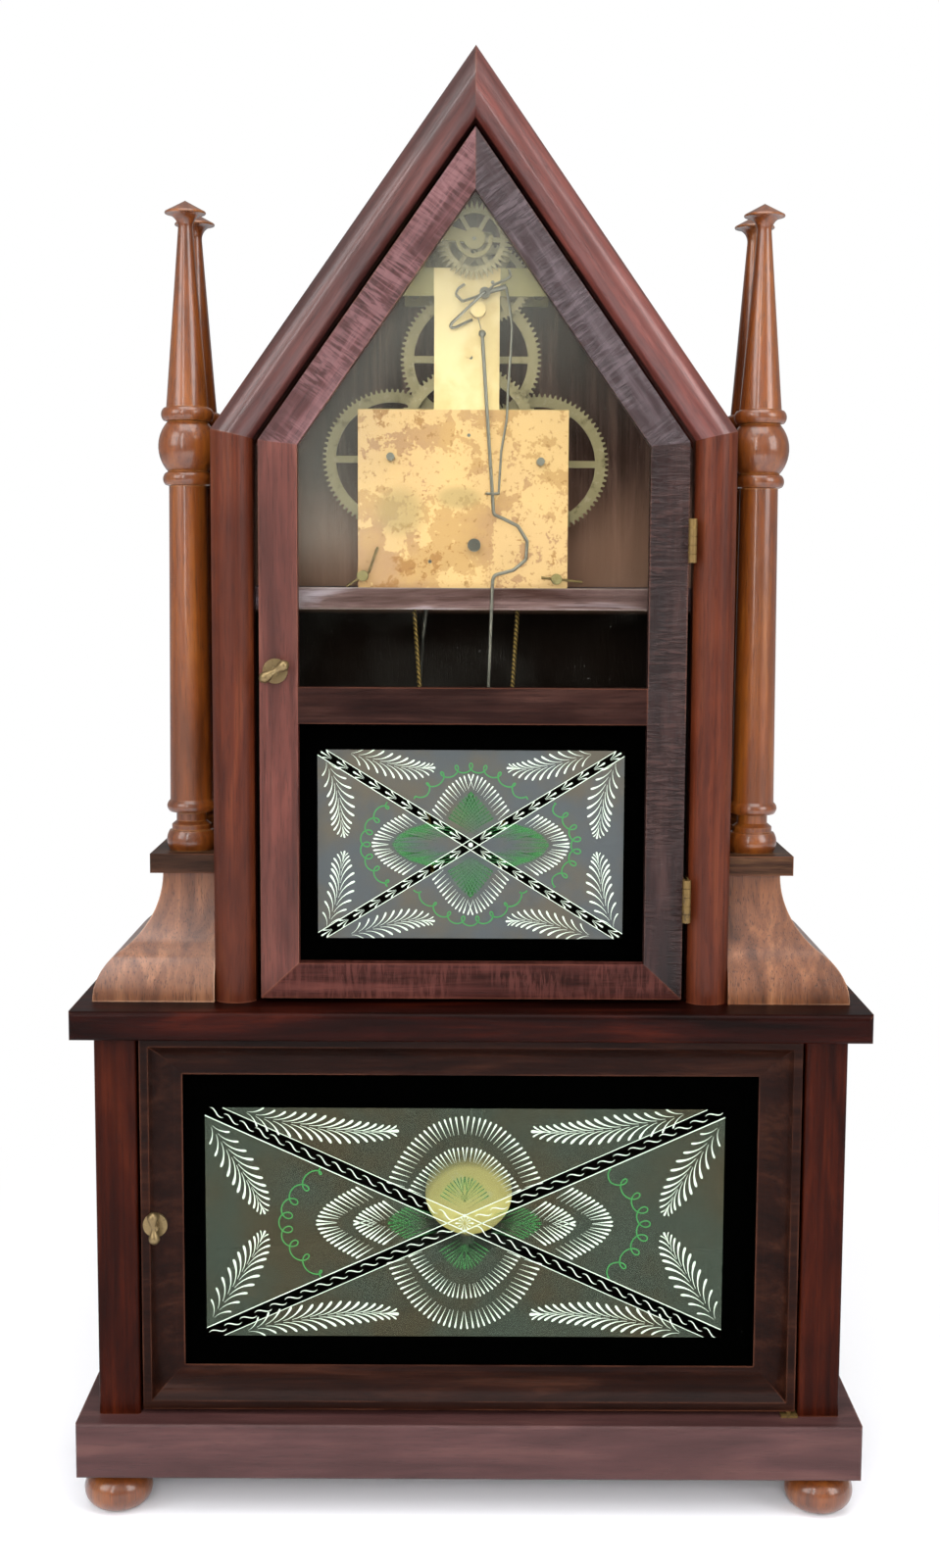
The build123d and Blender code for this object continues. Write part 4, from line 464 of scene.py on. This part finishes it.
# Back plate and wheels: cast brass, filed flat, with the teeth cut on an engine. Each wheel is
# riveted to a steel arbor, which shows grey at its middle.
wheels = ("time_great_wheel", "strike_great_wheel", "second_wheel", "third_wheel", "fourth_wheel",
          "escape_wheel")
dark_plate_brass = old_brass("dull_plate_brass", "#776c47", "#51462a", "#887f5d", roughness=0.48, bare=0.3)
finish_with(dark_plate_brass, "back_plate")
arbor_axes = []
for wheel in wheels:
    wheel_low, wheel_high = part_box(wheel)
    arbor_axes.append(((wheel_low.x + wheel_high.x) / 2, (wheel_low.z + wheel_high.z) / 2))
wheel_brass = old_brass("cast_wheel_brass", "#84795d", "#5f553d", "#998d7b", roughness=0.38,
                        stain_scale=120.0, bare=0.35, axes=arbor_axes)
finish_with(wheel_brass, *wheels)

# Knobs, pins and hinges: small castings and wire of brass, dark with handling. They are screwed or
# pinned to the wood and the pillars.
hardware_brass = old_brass("handled_brass", "#7a6848", "#4e3e26", "#a4916a", stain_scale=160.0,
                           amount=0.7, bare=0.8)
finish_with(hardware_brass, "upper_turn_knob", "lower_turn_knob", "taper_pins")
hinge_brass = old_brass("darkened_hinge_brass", "#6c5630", "#3c2c18", "#94783e", roughness=0.42,
                        stain_scale=160.0, bare=0.6)
finish_with(hinge_brass, "case_hinges", "upper_door_hinges")

# Chains: twisted brass wire that runs from the drums down to the levers of the leaf spring. The
# twist is painted as dark and bright bands across each: painted shade between the turns and painted
# highlights on them.
material, tree, output = new_material("twisted_chain_brass")
place = add_node(tree, "ShaderNodeTexCoord").outputs["Object"]
# Painted shade and painted highlights in diagonal bands.
twist_light_and_shade = add_node(tree, "ShaderNodeTexWave", {
    "Vector": place, "Scale": 290.0, "Distortion": 1.0, "Detail": 1.0},
    wave_type="BANDS", bands_direction="DIAGONAL").outputs["Fac"]
colour = blend(tree, mask(tree, twist_light_and_shade, 0.25, 0.6), linear("#3a2c16"), linear("#9c8048"))
surface = add_node(tree, "ShaderNodeBsdfPrincipled", {
    "Base Color": colour, "Metallic": 0.6, "Roughness": 0.35})
tree.links.new(surface.outputs[0], output.inputs["Surface"])
finish_with(material, "spring_chains")

# Bob: a disc of thin brass sheet filled with lead, under pale lacquer. It hangs at the end of the
# rod and shows through the lower tablet.
bob_brass = old_brass("lacquered_bob_brass", "#eddc8f", "#d0bb64", "#ede1af", roughness=0.5,
                      stain_scale=40.0, amount=0.3, bare=0.1)
finish_with(bob_brass, "pendulum_bob")


# Steel: drawn wire and turned arbors, grey with a little oil and rust. The leaf spring, its levers
# and the coiled gong are blackened by heat.
def old_steel(name, base, rust, roughness=0.34):
    """Grey steel with faint rust."""
    return old_brass(name, base, rust, base, roughness=roughness, stain_scale=220.0, amount=0.5)


steel = old_steel("drawn_steel", "#8c8a86", "#5c4a3c")
finish_with(steel, "verge_and_crutch", "verge_wire", "pendulum_rod", "hammer", "hand_arbor")
spring_steel = old_steel("blackened_spring_steel", "#4c4a48", "#3a2a20", 0.42)
finish_with(spring_steel, "leaf_spring", "spring_levers", "gong")


# Window glass: blown glass, cut to the door and held by putty. It is clear with a faint green cast,
# has a haze of old polish at its left, a few specks of dust, and a pale veil towards its top that is
# partly haze and partly a painted reflection of the lamps.
def glass_shader(tree, colour, roughness):
    """Clear glass that mirrors only at a slant and only on its outer face."""
    inner = add_node(tree, "ShaderNodeNewGeometry").outputs["Backfacing"]
    fresnel = add_node(tree, "ShaderNodeFresnel", {"IOR": 1.4}).outputs[0]
    outer = math(tree, "MULTIPLY", fresnel, math(tree, "SUBTRACT", 1.0, inner))
    clear = add_node(tree, "ShaderNodeBsdfTransparent", {"Color": linear(colour)}).outputs[0]
    shine = add_node(tree, "ShaderNodeBsdfGlossy", {
        "Color": linear("#ffffff"), "Roughness": roughness}).outputs[0]
    return add_node(tree, "ShaderNodeMixShader", {
        0: mask(tree, outer, 0.04, 1.0), 1: clear, 2: shine}).outputs[0]


haze_and_reflection_bottom, haze_and_reflection_top = 485 * mm, 600 * mm
pane_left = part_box("upper_pane")[0].x
seat_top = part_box("seat_board")[1].z
material, tree, output = new_material("old_window_glass")
place = add_node(tree, "ShaderNodeTexCoord").outputs["Object"]
glass = glass_shader(tree, "#fafbf6", 0.02)
dust_and_reflection = add_node(tree, "ShaderNodeBsdfDiffuse", {"Color": linear("#e2e2d6")}).outputs[0]
on_pane = add_node(tree, "ShaderNodeSeparateXYZ", {0: place}).outputs
speck = add_node(tree, "ShaderNodeTexNoise", {"Vector": place, "Scale": 900.0, "Detail": 1.0})
cloud = add_node(tree, "ShaderNodeTexNoise", {"Vector": place, "Scale": 18.0, "Detail": 4.0})
left_edge = math(tree, "SUBTRACT", 1.0, mask(tree, on_pane["X"], pane_left + 5 * mm, pane_left + 60 * mm))
left_edge = math(tree, "MULTIPLY", left_edge, mask(tree, on_pane["Z"], seat_top, seat_top + 30 * mm))
# Paler towards the top: haze and a painted reflection of the lamps above.
haze_and_reflection = math(tree, "MULTIPLY", mask(tree, on_pane["Z"], haze_and_reflection_bottom, haze_and_reflection_top), 0.055)
for layer, amount in ((left_edge, 0.035), (mask(tree, cloud.outputs["Fac"], 0.4, 0.8), 0.008),
                      (mask(tree, speck.outputs["Fac"], 0.80, 0.86), 0.25)):
    haze_and_reflection = math(tree, "ADD", haze_and_reflection, math(tree, "MULTIPLY", layer, amount))
tree.links.new(add_node(tree, "ShaderNodeMixShader", {0: haze_and_reflection, 1: glass, 2: dust_and_reflection}).outputs[0],
               output.inputs["Surface"])
finish_with(material, "upper_pane")

# Tablet glass: the same blown glass, cut to both doors and held by putty. It carries its paint on
# the back, which the next section lays on.
material, tree, output = new_material("tablet_glass")
tree.links.new(glass_shader(tree, "#f4f7f3", 0.03), output.inputs["Surface"])
finish_with(material, "upper_tablet", "lower_tablet")

# Tablets: each is painted on the back of its glass, first the white strokes and lines, then the
# green ones, then a thin grey film over them and black round the edge. The two crossed bands are
# left clear, so that the inside of the case shows dark through them.
clearest = 0.85


def paint(name, colour, roughness, clearness=0.0, mottle="", mottle_scale=60.0, thin_over=""):
    """Oil paint on glass; clearness is the share of light that a thin film lets through. The film is
    thinnest in front of the piece thin_over."""
    material, tree, output = new_material(name)
    place = add_node(tree, "ShaderNodeTexCoord").outputs["Object"]
    shade = linear(colour)
    if mottle:
        cloud = add_node(tree, "ShaderNodeTexNoise", {
            "Vector": place, "Scale": mottle_scale, "Detail": 5.0, "Roughness": 0.6})
        shade = blend(tree, mask(tree, cloud.outputs["Fac"], 0.38, 0.66), shade, linear(mottle))
    fine = add_node(tree, "ShaderNodeTexNoise", {"Vector": place, "Scale": 1500.0, "Detail": 2.0})
    height = math(tree, "MULTIPLY", fine.outputs["Fac"], 0.001 * mm)
    bump = add_node(tree, "ShaderNodeBump", {"Strength": 1.0, "Distance": 1.0, "Height": height})
    surface = add_node(tree, "ShaderNodeBsdfPrincipled", {
        "Base Color": shade, "Roughness": roughness, "Specular IOR Level": 0.0,
        "Normal": bump.outputs[0]}).outputs[0]
    if clearness:
        if thin_over:
            piece_low, piece_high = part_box(thin_over)
            middle, radius = (piece_low + piece_high) / 2, (piece_high.x - piece_low.x) / 2
            away = away_from(tree, place, middle.x, middle.z)
            thin = math(tree, "SUBTRACT", 1.0, mask(tree, away, radius * 0.9, radius * 1.25))
            clearness = math(tree, "ADD", clearness, math(tree, "MULTIPLY", thin, clearest - clearness))
        gap = add_node(tree, "ShaderNodeBsdfTransparent", {"Color": linear("#ffffff")}).outputs[0]
        surface = add_node(tree, "ShaderNodeMixShader", {0: clearness, 1: surface, 2: gap}).outputs[0]
    tree.links.new(surface, output.inputs["Surface"])
    return material


white_paint = paint("white_stroke_paint", "#dde2dd", 0.6)
green_paint = paint("thin_green_paint", "#468a50", 0.6, clearness=0.4)
curl_paint = paint("soft_green_line_paint", "#4a9658", 0.6, clearness=0.2)
upper_film_paint = paint("grey_film_of_upper_tablet", "#5c5c64", 0.7, clearness=0.22, mottle="#675d58",
                         mottle_scale=28.0)
lower_film_paint = paint("grey_film_of_lower_tablet", "#4a4f49", 0.7, clearness=0.40, mottle="#50483c",
                         mottle_scale=22.0, thin_over="pendulum_bob")
black_paint = paint("black_border_paint", "#010101", 0.5)


def slab(outline, front_y, thickness):
    """Vertices and faces of a closed sheet from an outline (x, z) seen from the front, anticlockwise."""
    count = len(outline)
    vertices = [(x, front_y, z) for x, z in outline] + [(x, front_y + thickness, z) for x, z in outline]
    faces = [tuple(range(count)), tuple(reversed(range(count, 2 * count)))]
    faces += [((i + 1) % count, i, i + count, (i + 1) % count + count) for i in range(count)]
    return vertices, faces


def joined(name, slabs, material):
    """One object from several sheets."""
    vertices, faces = [], []
    for part_vertices, part_faces in slabs:
        base = len(vertices)
        vertices += part_vertices
        faces += [tuple(base + i for i in face) for face in part_faces]
    return mesh_piece(name, vertices, faces, material)


def ribbon(points, widths):
    """Outline of a stroke along points (x, z) with a width at each, anticlockwise."""
    left, right = [], []
    for i, ((x, z), width) in enumerate(zip(points, widths)):
        x0, z0 = points[max(i - 1, 0)]
        x1, z1 = points[min(i + 1, len(points) - 1)]
        length = hypot(x1 - x0, z1 - z0) or 1.0
        nx, nz = -(z1 - z0) / length, (x1 - x0) / length
        left.append((x + nx * width / 2, z + nz * width / 2))
        right.append((x - nx * width / 2, z - nz * width / 2))
    return right + left[::-1]


def stroke_outline(length, fullness, curl=0.0, start=(0.0, 0.0), angle=0.0, from_head=False):
    """Outline of a brush stroke from a thin point to a round head, bent to one side by curl."""
    widths = [0.1, 0.2, 0.32, 0.52, 0.82, 1.0, 0.88, 0.42]
    places = [0.0, 0.2, 0.4, 0.6, 0.78, 0.88, 0.955, 1.0]
    points = []
    for place in places:
        u, v = length * (1 - place if from_head else place), length * curl * place * (1 - place) * 4
        points.append((start[0] + u * cos(angle) - v * sin(angle),
                       start[1] + u * sin(angle) + v * cos(angle)))
    return ribbon(points, [width * fullness * length for width in widths])


def wave_outline():
    """Outline of one S-shaped stroke of length 1, thin at both ends."""
    points, widths = [], []
    for step in range(15):
        share = step / 7 - 1
        points.append((0.5 * share, -0.155 * sin(0.75 * pi * share)))
        widths.append(0.02 + 0.045 * (1 - share * share))
    return ribbon(points, widths)


def stroke_piece(name, outlines, thickness=0.004):
    """A mesh to set along lines: sheets of paint whose thickness is scaled with their size."""
    piece = joined(name, [slab(outline, 0.0, thickness) for outline in outlines], white_paint)
    bpy.context.scene.collection.objects.unlink(piece)
    return piece


def strokes_tree():
    """Geometry nodes that set a stroke at equal steps along each line of a mesh, turned from the
    line by an angle, in sizes that change from the line's start over its middle to its end."""
    tree = bpy.data.node_groups.new("strokes_along_lines", "GeometryNodeTree")
    for name, kind in (("Lines", "NodeSocketGeometry"), ("Stroke", "NodeSocketObject"),
                       ("Spacing", "NodeSocketFloat"), ("Lean", "NodeSocketFloat"),
                       ("Lean at end", "NodeSocketFloat"),
                       ("First size", "NodeSocketFloat"), ("Middle size", "NodeSocketFloat"),
                       ("Last size", "NodeSocketFloat"), ("Paint", "NodeSocketMaterial")):
        tree.interface.new_socket(name, in_out="INPUT", socket_type=kind)
    tree.interface.new_socket("Strokes", in_out="OUTPUT", socket_type="NodeSocketGeometry")
    given = add_node(tree, "NodeGroupInput").outputs
    curve = add_node(tree, "GeometryNodeMeshToCurve", {"Mesh": given["Lines"]}).outputs["Curve"]
    stepped = add_node(tree, "GeometryNodeResampleCurve", {"Curve": curve, "Length": given["Spacing"]},
                       mode="LENGTH").outputs["Curve"]
    along = add_node(tree, "GeometryNodeSplineParameter").outputs["Factor"]
    tangent = add_node(tree, "GeometryNodeInputTangent").outputs["Tangent"]
    facing = add_node(tree, "FunctionNodeAlignRotationToVector", {"Vector": tangent},
                      axis="X", pivot_axis="Y").outputs["Rotation"]

    def mixed(first, second):
        return add_node(tree, "ShaderNodeMix", {0: along, 2: first, 3: second}, data_type="FLOAT").outputs[0]

    lean = mixed(given["Lean"], given["Lean at end"])
    lean_turn = add_node(tree, "FunctionNodeAxisAngleToRotation",
                         {"Axis": (0.0, -1.0, 0.0), "Angle": lean}).outputs["Rotation"]
    leaning = add_node(tree, "FunctionNodeRotateRotation", {"Rotation": facing, "Rotate By": lean_turn},
                       rotation_space="LOCAL").outputs["Rotation"]
    size = mixed(mixed(given["First size"], given["Middle size"]),
                 mixed(given["Middle size"], given["Last size"]))
    stroke = add_node(tree, "GeometryNodeObjectInfo", {"Object": given["Stroke"]}).outputs["Geometry"]
    placed = add_node(tree, "GeometryNodeInstanceOnPoints", {
        "Points": stepped, "Instance": stroke, "Rotation": leaning, "Scale": size}).outputs["Instances"]
    real = add_node(tree, "GeometryNodeRealizeInstances", {"Geometry": placed}).outputs[0]
    painted = add_node(tree, "GeometryNodeSetMaterial", {
        "Geometry": real, "Material": given["Paint"]}).outputs[0]
    tree.links.new(painted, add_node(tree, "NodeGroupOutput").inputs["Strokes"])
    return tree


stroke_nodes = strokes_tree()


def strokes_along(name, lines, y, stroke, spacing, lean, sizes, material, lean_at_end=None):
    """A mesh object of strokes along lines of points (x, z) in mm at depth y."""
    vertices, edges = [], []
    for line in lines:
        base = len(vertices)
        vertices += [(x * mm, y * mm, z * mm) for x, z in line]
        edges += [(base + i, base + i + 1) for i in range(len(line) - 1)]
    mesh = bpy.data.meshes.new(name)
    mesh.from_pydata(vertices, edges, [])
    guide = bpy.data.objects.new(name + "_lines", mesh)
    bpy.context.scene.collection.objects.link(guide)
    modifier = guide.modifiers.new("strokes", "NODES")
    modifier.node_group = stroke_nodes
    values = {"Stroke": stroke, "Spacing": spacing * mm, "Lean": lean,
              "Lean at end": lean if lean_at_end is None else lean_at_end,
              "First size": sizes[0] * mm, "Middle size": sizes[1] * mm, "Last size": sizes[2] * mm,
              "Paint": material}
    for socket in stroke_nodes.interface.items_tree:
        if socket.in_out == "INPUT" and socket.name in values:
            modifier[socket.identifier] = values[socket.name]
    bpy.context.view_layer.update()
    graph = bpy.context.evaluated_depsgraph_get()
    piece = bpy.data.objects.new(name, bpy.data.meshes.new_from_object(guide.evaluated_get(graph)))
    bpy.context.scene.collection.objects.link(piece)
    bpy.data.objects.remove(guide)
    return piece


def arc_points(start, control, end, count):
    """Points on a curve from start to end, pulled towards a control point."""
    return [tuple((1 - t) ** 2 * a + 2 * t * (1 - t) * b + t * t * c for a, b, c in zip(start, control, end))
            for t in (i / (count - 1) for i in range(count))]


def curls(start, control, end, loops, radius, side):
    """A line that follows a curve and loops to one side of it as it goes."""
    steps_per_loop, fade_rate = 18, 12
    steps = loops * steps_per_loop
    spine = arc_points(start, control, end, steps + 1)
    points = []
    for i, (x, z) in enumerate(spine):
        angle = 2 * pi * loops * i / steps
        fade = min(1.0, fade_rate * i / steps, fade_rate * (steps - i) / steps)
        points.append((x + side[0] * radius * (1 - cos(angle)) * fade + side[1] * radius * sin(angle) * fade,
                       z + side[1] * radius * (1 - cos(angle)) * fade - side[0] * radius * sin(angle) * fade))
    return points


def mirrored(line, x_sign, z_sign, centre):
    """A line mirrored into one quarter of the panel, about its middle."""
    return [(centre[0] + x_sign * x, centre[1] + z_sign * z) for x, z in line]


curl_width = 0.55


def painted_tablet(name, body, node, panel, band_width, line_width, leaves, rings, fans, curl_lines,
                   band_stroke, band_steps, middle, film_paint):
    """Paints a tablet, with lines for one quarter from the middle of the panel, in mm. A leaf has its
    line, the sizes of its strokes, their spacing and lean; a ring or a fan its line, size, spacing and
    the lean at both ends. The steps of a band are where its strokes start and stop, their spacing, and
    whether all point one way."""
    left, right, bottom, top = panel
    cx, cz = centre = ((left + right) / 2, (bottom + top) / 2)
    half_x, half_z = (right - left) / 2, (top - bottom) / 2
    low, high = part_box(node)
    inset, glass_back = 0.3, high.y / mm
    glass = (low.x / mm + inset, high.x / mm - inset, low.z / mm + inset, high.z / mm - inset)
    white_y, green_y, film_y = glass_back + 0.03, glass_back + 0.09, glass_back + 0.15
    band_start, band_stop, band_spacing, one_way = band_steps
    pieces = []

    def sheet(outline, y, thickness=0.05):
        return slab([(x * mm, z * mm) for x, z in outline], y * mm, thickness * mm)

    border = [
        [(glass[0], glass[2]), (glass[1], glass[2]), (glass[1], bottom), (glass[0], bottom)],
        [(glass[0], top), (glass[1], top), (glass[1], glass[3]), (glass[0], glass[3])],
        [(glass[0], bottom), (left, bottom), (left, top), (glass[0], top)],
        [(right, bottom), (glass[1], bottom), (glass[1], top), (right, top)],
    ]
    pieces.append(joined(name + "_black_border", [sheet(o, film_y, 0.1) for o in border], black_paint))
    slope = hypot(half_x, half_z)
    gap_x, gap_z = band_width / 2 * slope / half_z, band_width / 2 * slope / half_x
    film = [
        [(cx, cz + gap_z), (right - gap_x, top), (left + gap_x, top)],
        [(cx, cz - gap_z), (left + gap_x, bottom), (right - gap_x, bottom)],
        [(cx - gap_x, cz), (left, top - gap_z), (left, bottom + gap_z)],
        [(cx + gap_x, cz), (right, bottom + gap_z), (right, top - gap_z)],
    ]
    pieces.append(joined(name + "_grey_film", [sheet(o, film_y) for o in film], film_paint))
    lines, arms = [], []
    ux, uz = half_x / slope, half_z / slope
    for sign in (1, -1):
        for offset in (band_width / 2, -band_width / 2):
            x0, z0 = -uz * sign * offset, ux * offset
            back = min((half_x + x0) / ux, (half_z + sign * z0) / uz)
            ahead = min((half_x - x0) / ux, (half_z - sign * z0) / uz)
            ends = [(cx + x0 + ux * r, cz + z0 + uz * sign * r) for r in (-back, ahead)]
            lines.append(sheet(ribbon(ends, [line_width] * 2), white_y - 0.01, 0.04))
        near, far = band_start, slope - band_stop
        for way in (1, -1):
            arm = [(cx + way * ux * r, cz + way * uz * sign * r) for r in (near, far)]
            arms.append(arm[::-1] if one_way and way < 0 else arm)
    pieces.append(joined(name + "_white_lines", lines, white_paint))
    full_size = (1.0 / mm,) * 3
    pieces.append(strokes_along(name + "_band_strokes", arms, white_y, band_stroke, band_spacing, 0.0,
                                full_size, white_paint))
    pieces.append(joined(name + "_middle", [sheet([(cx + x, cz + z) for x, z in o], white_y) for o in middle],
                         white_paint))
    tips, tip_growth, tip_fullness = [], 1.15, 0.16
    for line, sizes, *_ in leaves:
        for sx, sz in ((1, 1), (-1, 1), (1, -1), (-1, -1)):
            (x0, z0), (x1, z1) = line[-2:]
            tips.append(sheet(stroke_outline(
                sizes[2] * tip_growth, tip_fullness, start=(cx + sx * x1, cz + sz * z1),
                angle=atan2(sz * (z1 - z0), sx * (x1 - x0))), white_y))
    pieces.append(joined(name + "_leaf_tips", tips, white_paint))
    same, other = [(1, 1), (-1, -1)], [(-1, 1), (1, -1)]
    lean_loss = 0.3
    for index, (line, sizes, spacing, lean) in enumerate(leaves):
        for label, quads, sign in (("a", same, 1), ("b", other, -1)):
            for row, side in (("left", 1), ("right", -1)):
                stroke = leaf_stroke_left if side * sign > 0 else leaf_stroke_right
                pieces.append(strokes_along(
                    f"{name}_leaf_{index}{label}_{row}", [mirrored(line, *q, centre) for q in quads], white_y,
                    stroke, spacing, side * sign * lean, sizes, white_paint,
                    side * sign * (lean - lean_loss)))
    for kind, rows, paint_used, y, stroke in (("ring", rings, white_paint, white_y, ring_stroke),
                                              ("fan", fans, green_paint, green_y, fan_stroke)):
        for index, (line, size, spacing, lean_start, lean_end) in enumerate(rows):
            for label, quads, sign in (("a", same, 1), ("b", other, -1)):
                pieces.append(strokes_along(
                    f"{name}_{kind}_{index}{label}", [mirrored(line, *q, centre) for q in quads], y, stroke,
                    spacing, sign * lean_start, (size, size, size), paint_used, sign * lean_end))
    curl_slabs, part_steps = [], 6
    for line in curl_lines:
        points = [(cx + x, cz + z) for x, z in line]
        for start in range(0, len(points) - 1, part_steps):
            part = points[start:start + part_steps + 1]
            curl_slabs.append(sheet(ribbon(part, [curl_width] * len(part)), green_y))
    pieces.append(joined(name + "_green_curls", curl_slabs, curl_paint))
    for piece in pieces[1:]:
        for vertex in piece.data.vertices:
            vertex.co.x = min(max(vertex.co.x, left * mm), right * mm)
            vertex.co.z = min(max(vertex.co.z, bottom * mm), top * mm)
    for piece in pieces:
        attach(piece, body)


leaf_stroke_left = stroke_piece("leaf_stroke_left", [stroke_outline(1.0, 0.096, -0.11, (0.07, 0.0))])
leaf_stroke_right = stroke_piece("leaf_stroke_right", [stroke_outline(1.0, 0.096, 0.11, (0.07, 0.0))])
ring_stroke = stroke_piece("ring_stroke", [stroke_outline(1.0, 0.102, from_head=True)])
fan_stroke = stroke_piece("fan_stroke", [stroke_outline(1.0, 0.05, from_head=True)])
band_film, wave_length, sprig_back = 0.04 * mm, 8.0 * mm, -2.6 * mm
wave_stroke = stroke_piece("wave_stroke", [[(x * wave_length, z * wave_length) for x, z in wave_outline()]],
                           band_film)
sprig_stroke = stroke_piece("sprig_stroke", [
    stroke_outline(length * mm, 0.14, curl, (sprig_back, lift * mm), angle)
    for length, curl, lift, angle in ((5.8, 0.0, 0.0, 0.0), (4.2, -0.06, 0.3, 0.40), (4.2, 0.06, -0.3, -0.40))
], band_film)

upper_panel = (-70.4, 69.2, 266.4, 353.2)
lower_panel = (-122.3, 117.2, 79.4, 188.3)
dot_radius, star_hole, star_long, star_short = 1.05, 0.7, 3.6, 2.5
dot = [(dot_radius * cos(i * pi / 8), dot_radius * sin(i * pi / 8)) for i in range(16)]
star = [stroke_outline(star_short if i % 3 else star_long, 0.2, angle=i * pi / 6,
                       start=(star_hole * cos(i * pi / 6), star_hole * sin(i * pi / 6))) for i in range(12)]

painted_tablet(
    "upper_tablet_paint", "upper_door", "upper_tablet", upper_panel, band_width=4.2, line_width=0.42,
    leaves=[
        ([(54.8, 41.8), (49.0, 40.2), (40.0, 37.5), (32.8, 35.7), (25.7, 34.8), (22.4, 35.0)],
         (6.6, 13.6, 5.4), 3.2, 0.66),
        ([(65.6, 38.4), (61.8, 28.5), (60.0, 21.3), (59.3, 12.4), (58.5, 8.2)], (6.8, 15.8, 4.6), 3.2, 0.66),
    ],
    rings=[
        ([(1.2, 32.5), (5.4, 31.0), (10.2, 27.0), (14.0, 22.0), (17.4, 16.4)], 6.9, 2.1, -1.56, -1.35),
        ([(45.2, 0.9), (43.8, 4.4), (40.0, 8.8), (35.2, 12.0), (31.2, 13.9)], 7.8, 1.8, 1.3, 1.05),
    ],
    fans=[
        ([(0.0, 24.5), (2.5, 22.6), (5.0, 20.0), (8.0, 16.2), (10.4, 12.6)], 15.0, 1.6, -1.30, -1.62),
        ([(35.8, 0.5), (33.0, 4.4), (28.0, 7.4), (21.0, 9.4)], 17.0, 1.6, 0.95, 0.42),
    ],
    curl_lines=[
        curls((sx * 38.0, 19.5), (sx * 63.0, 0.0), (sx * 38.0, -19.5), 7, 2.3, (-sx, 0.0)) for sx in (1, -1)
    ] + [
        curls((-26.0, sz * 21.0), (0.0, sz * 54.0), (26.0, sz * 21.0), 8, 2.1, (0.0, -sz)) for sz in (1, -1)
    ],
    band_stroke=sprig_stroke, band_steps=(8.0, 5.0, 8.1, False), middle=[dot], film_paint=upper_film_paint,
)
painted_tablet(
    "lower_tablet_paint", "lower_door", "lower_tablet", lower_panel, band_width=6.8, line_width=0.52,
    leaves=[
        ([(100.8, 52.4), (93.7, 49.8), (85.4, 47.9), (76.1, 46.5), (68.7, 45.2), (60.4, 44.2), (52.1, 43.6),
          (44.7, 43.2), (39.6, 43.4)], (8.0, 17.6, 8.0), 3.9, 0.60),
        ([(116.8, 46.0), (111.7, 37.9), (107.0, 31.0), (102.4, 23.1), (97.6, 15.4), (95.0, 9.8)],
         (8.4, 19.2, 5.6), 3.9, 0.66),
    ],
    rings=[
        ([(1.6, 50.9), (8.5, 49.8), (16.0, 46.5), (23.0, 40.6), (28.6, 33.6), (33.0, 26.0), (36.0, 19.6)],
         8.6, 2.7, -1.57, -1.72),
        ([(1.1, 36.2), (7.0, 35.4), (13.4, 31.6), (19.0, 26.0), (23.4, 20.4), (26.0, 16.2)],
         6.9, 2.2, -1.57, -1.72),
        ([(68.7, 1.0), (67.4, 4.4), (64.0, 8.6), (58.0, 13.0), (50.4, 17.0)], 9.6, 2.1, 1.3, 1.05),
        ([(51.5, 1.0), (49.8, 3.6), (45.6, 7.0), (38.0, 10.4)], 9.4, 2.0, 1.3, 1.05),
    ],
    fans=[
        ([(0.0, 22.4), (4.0, 21.6), (8.0, 18.4), (11.4, 13.4)], 12.0, 1.9, -1.5, -1.6),
        ([(35.6, 0.6), (34.4, 3.0), (30.6, 6.0), (26.4, 8.0)], 14.0, 1.7, 1.4, 0.75),
    ],
    curl_lines=[
        curls((sx * 66.0, 26.6), (sx * 106.0, 0.0), (sx * 66.0, -26.6), 8, 3.0, (-sx, 0.0)) for sx in (1, -1)
    ],
    band_stroke=wave_stroke, band_steps=(9.6, 5.6, 7.4, True), middle=star, film_paint=lower_film_paint,
)
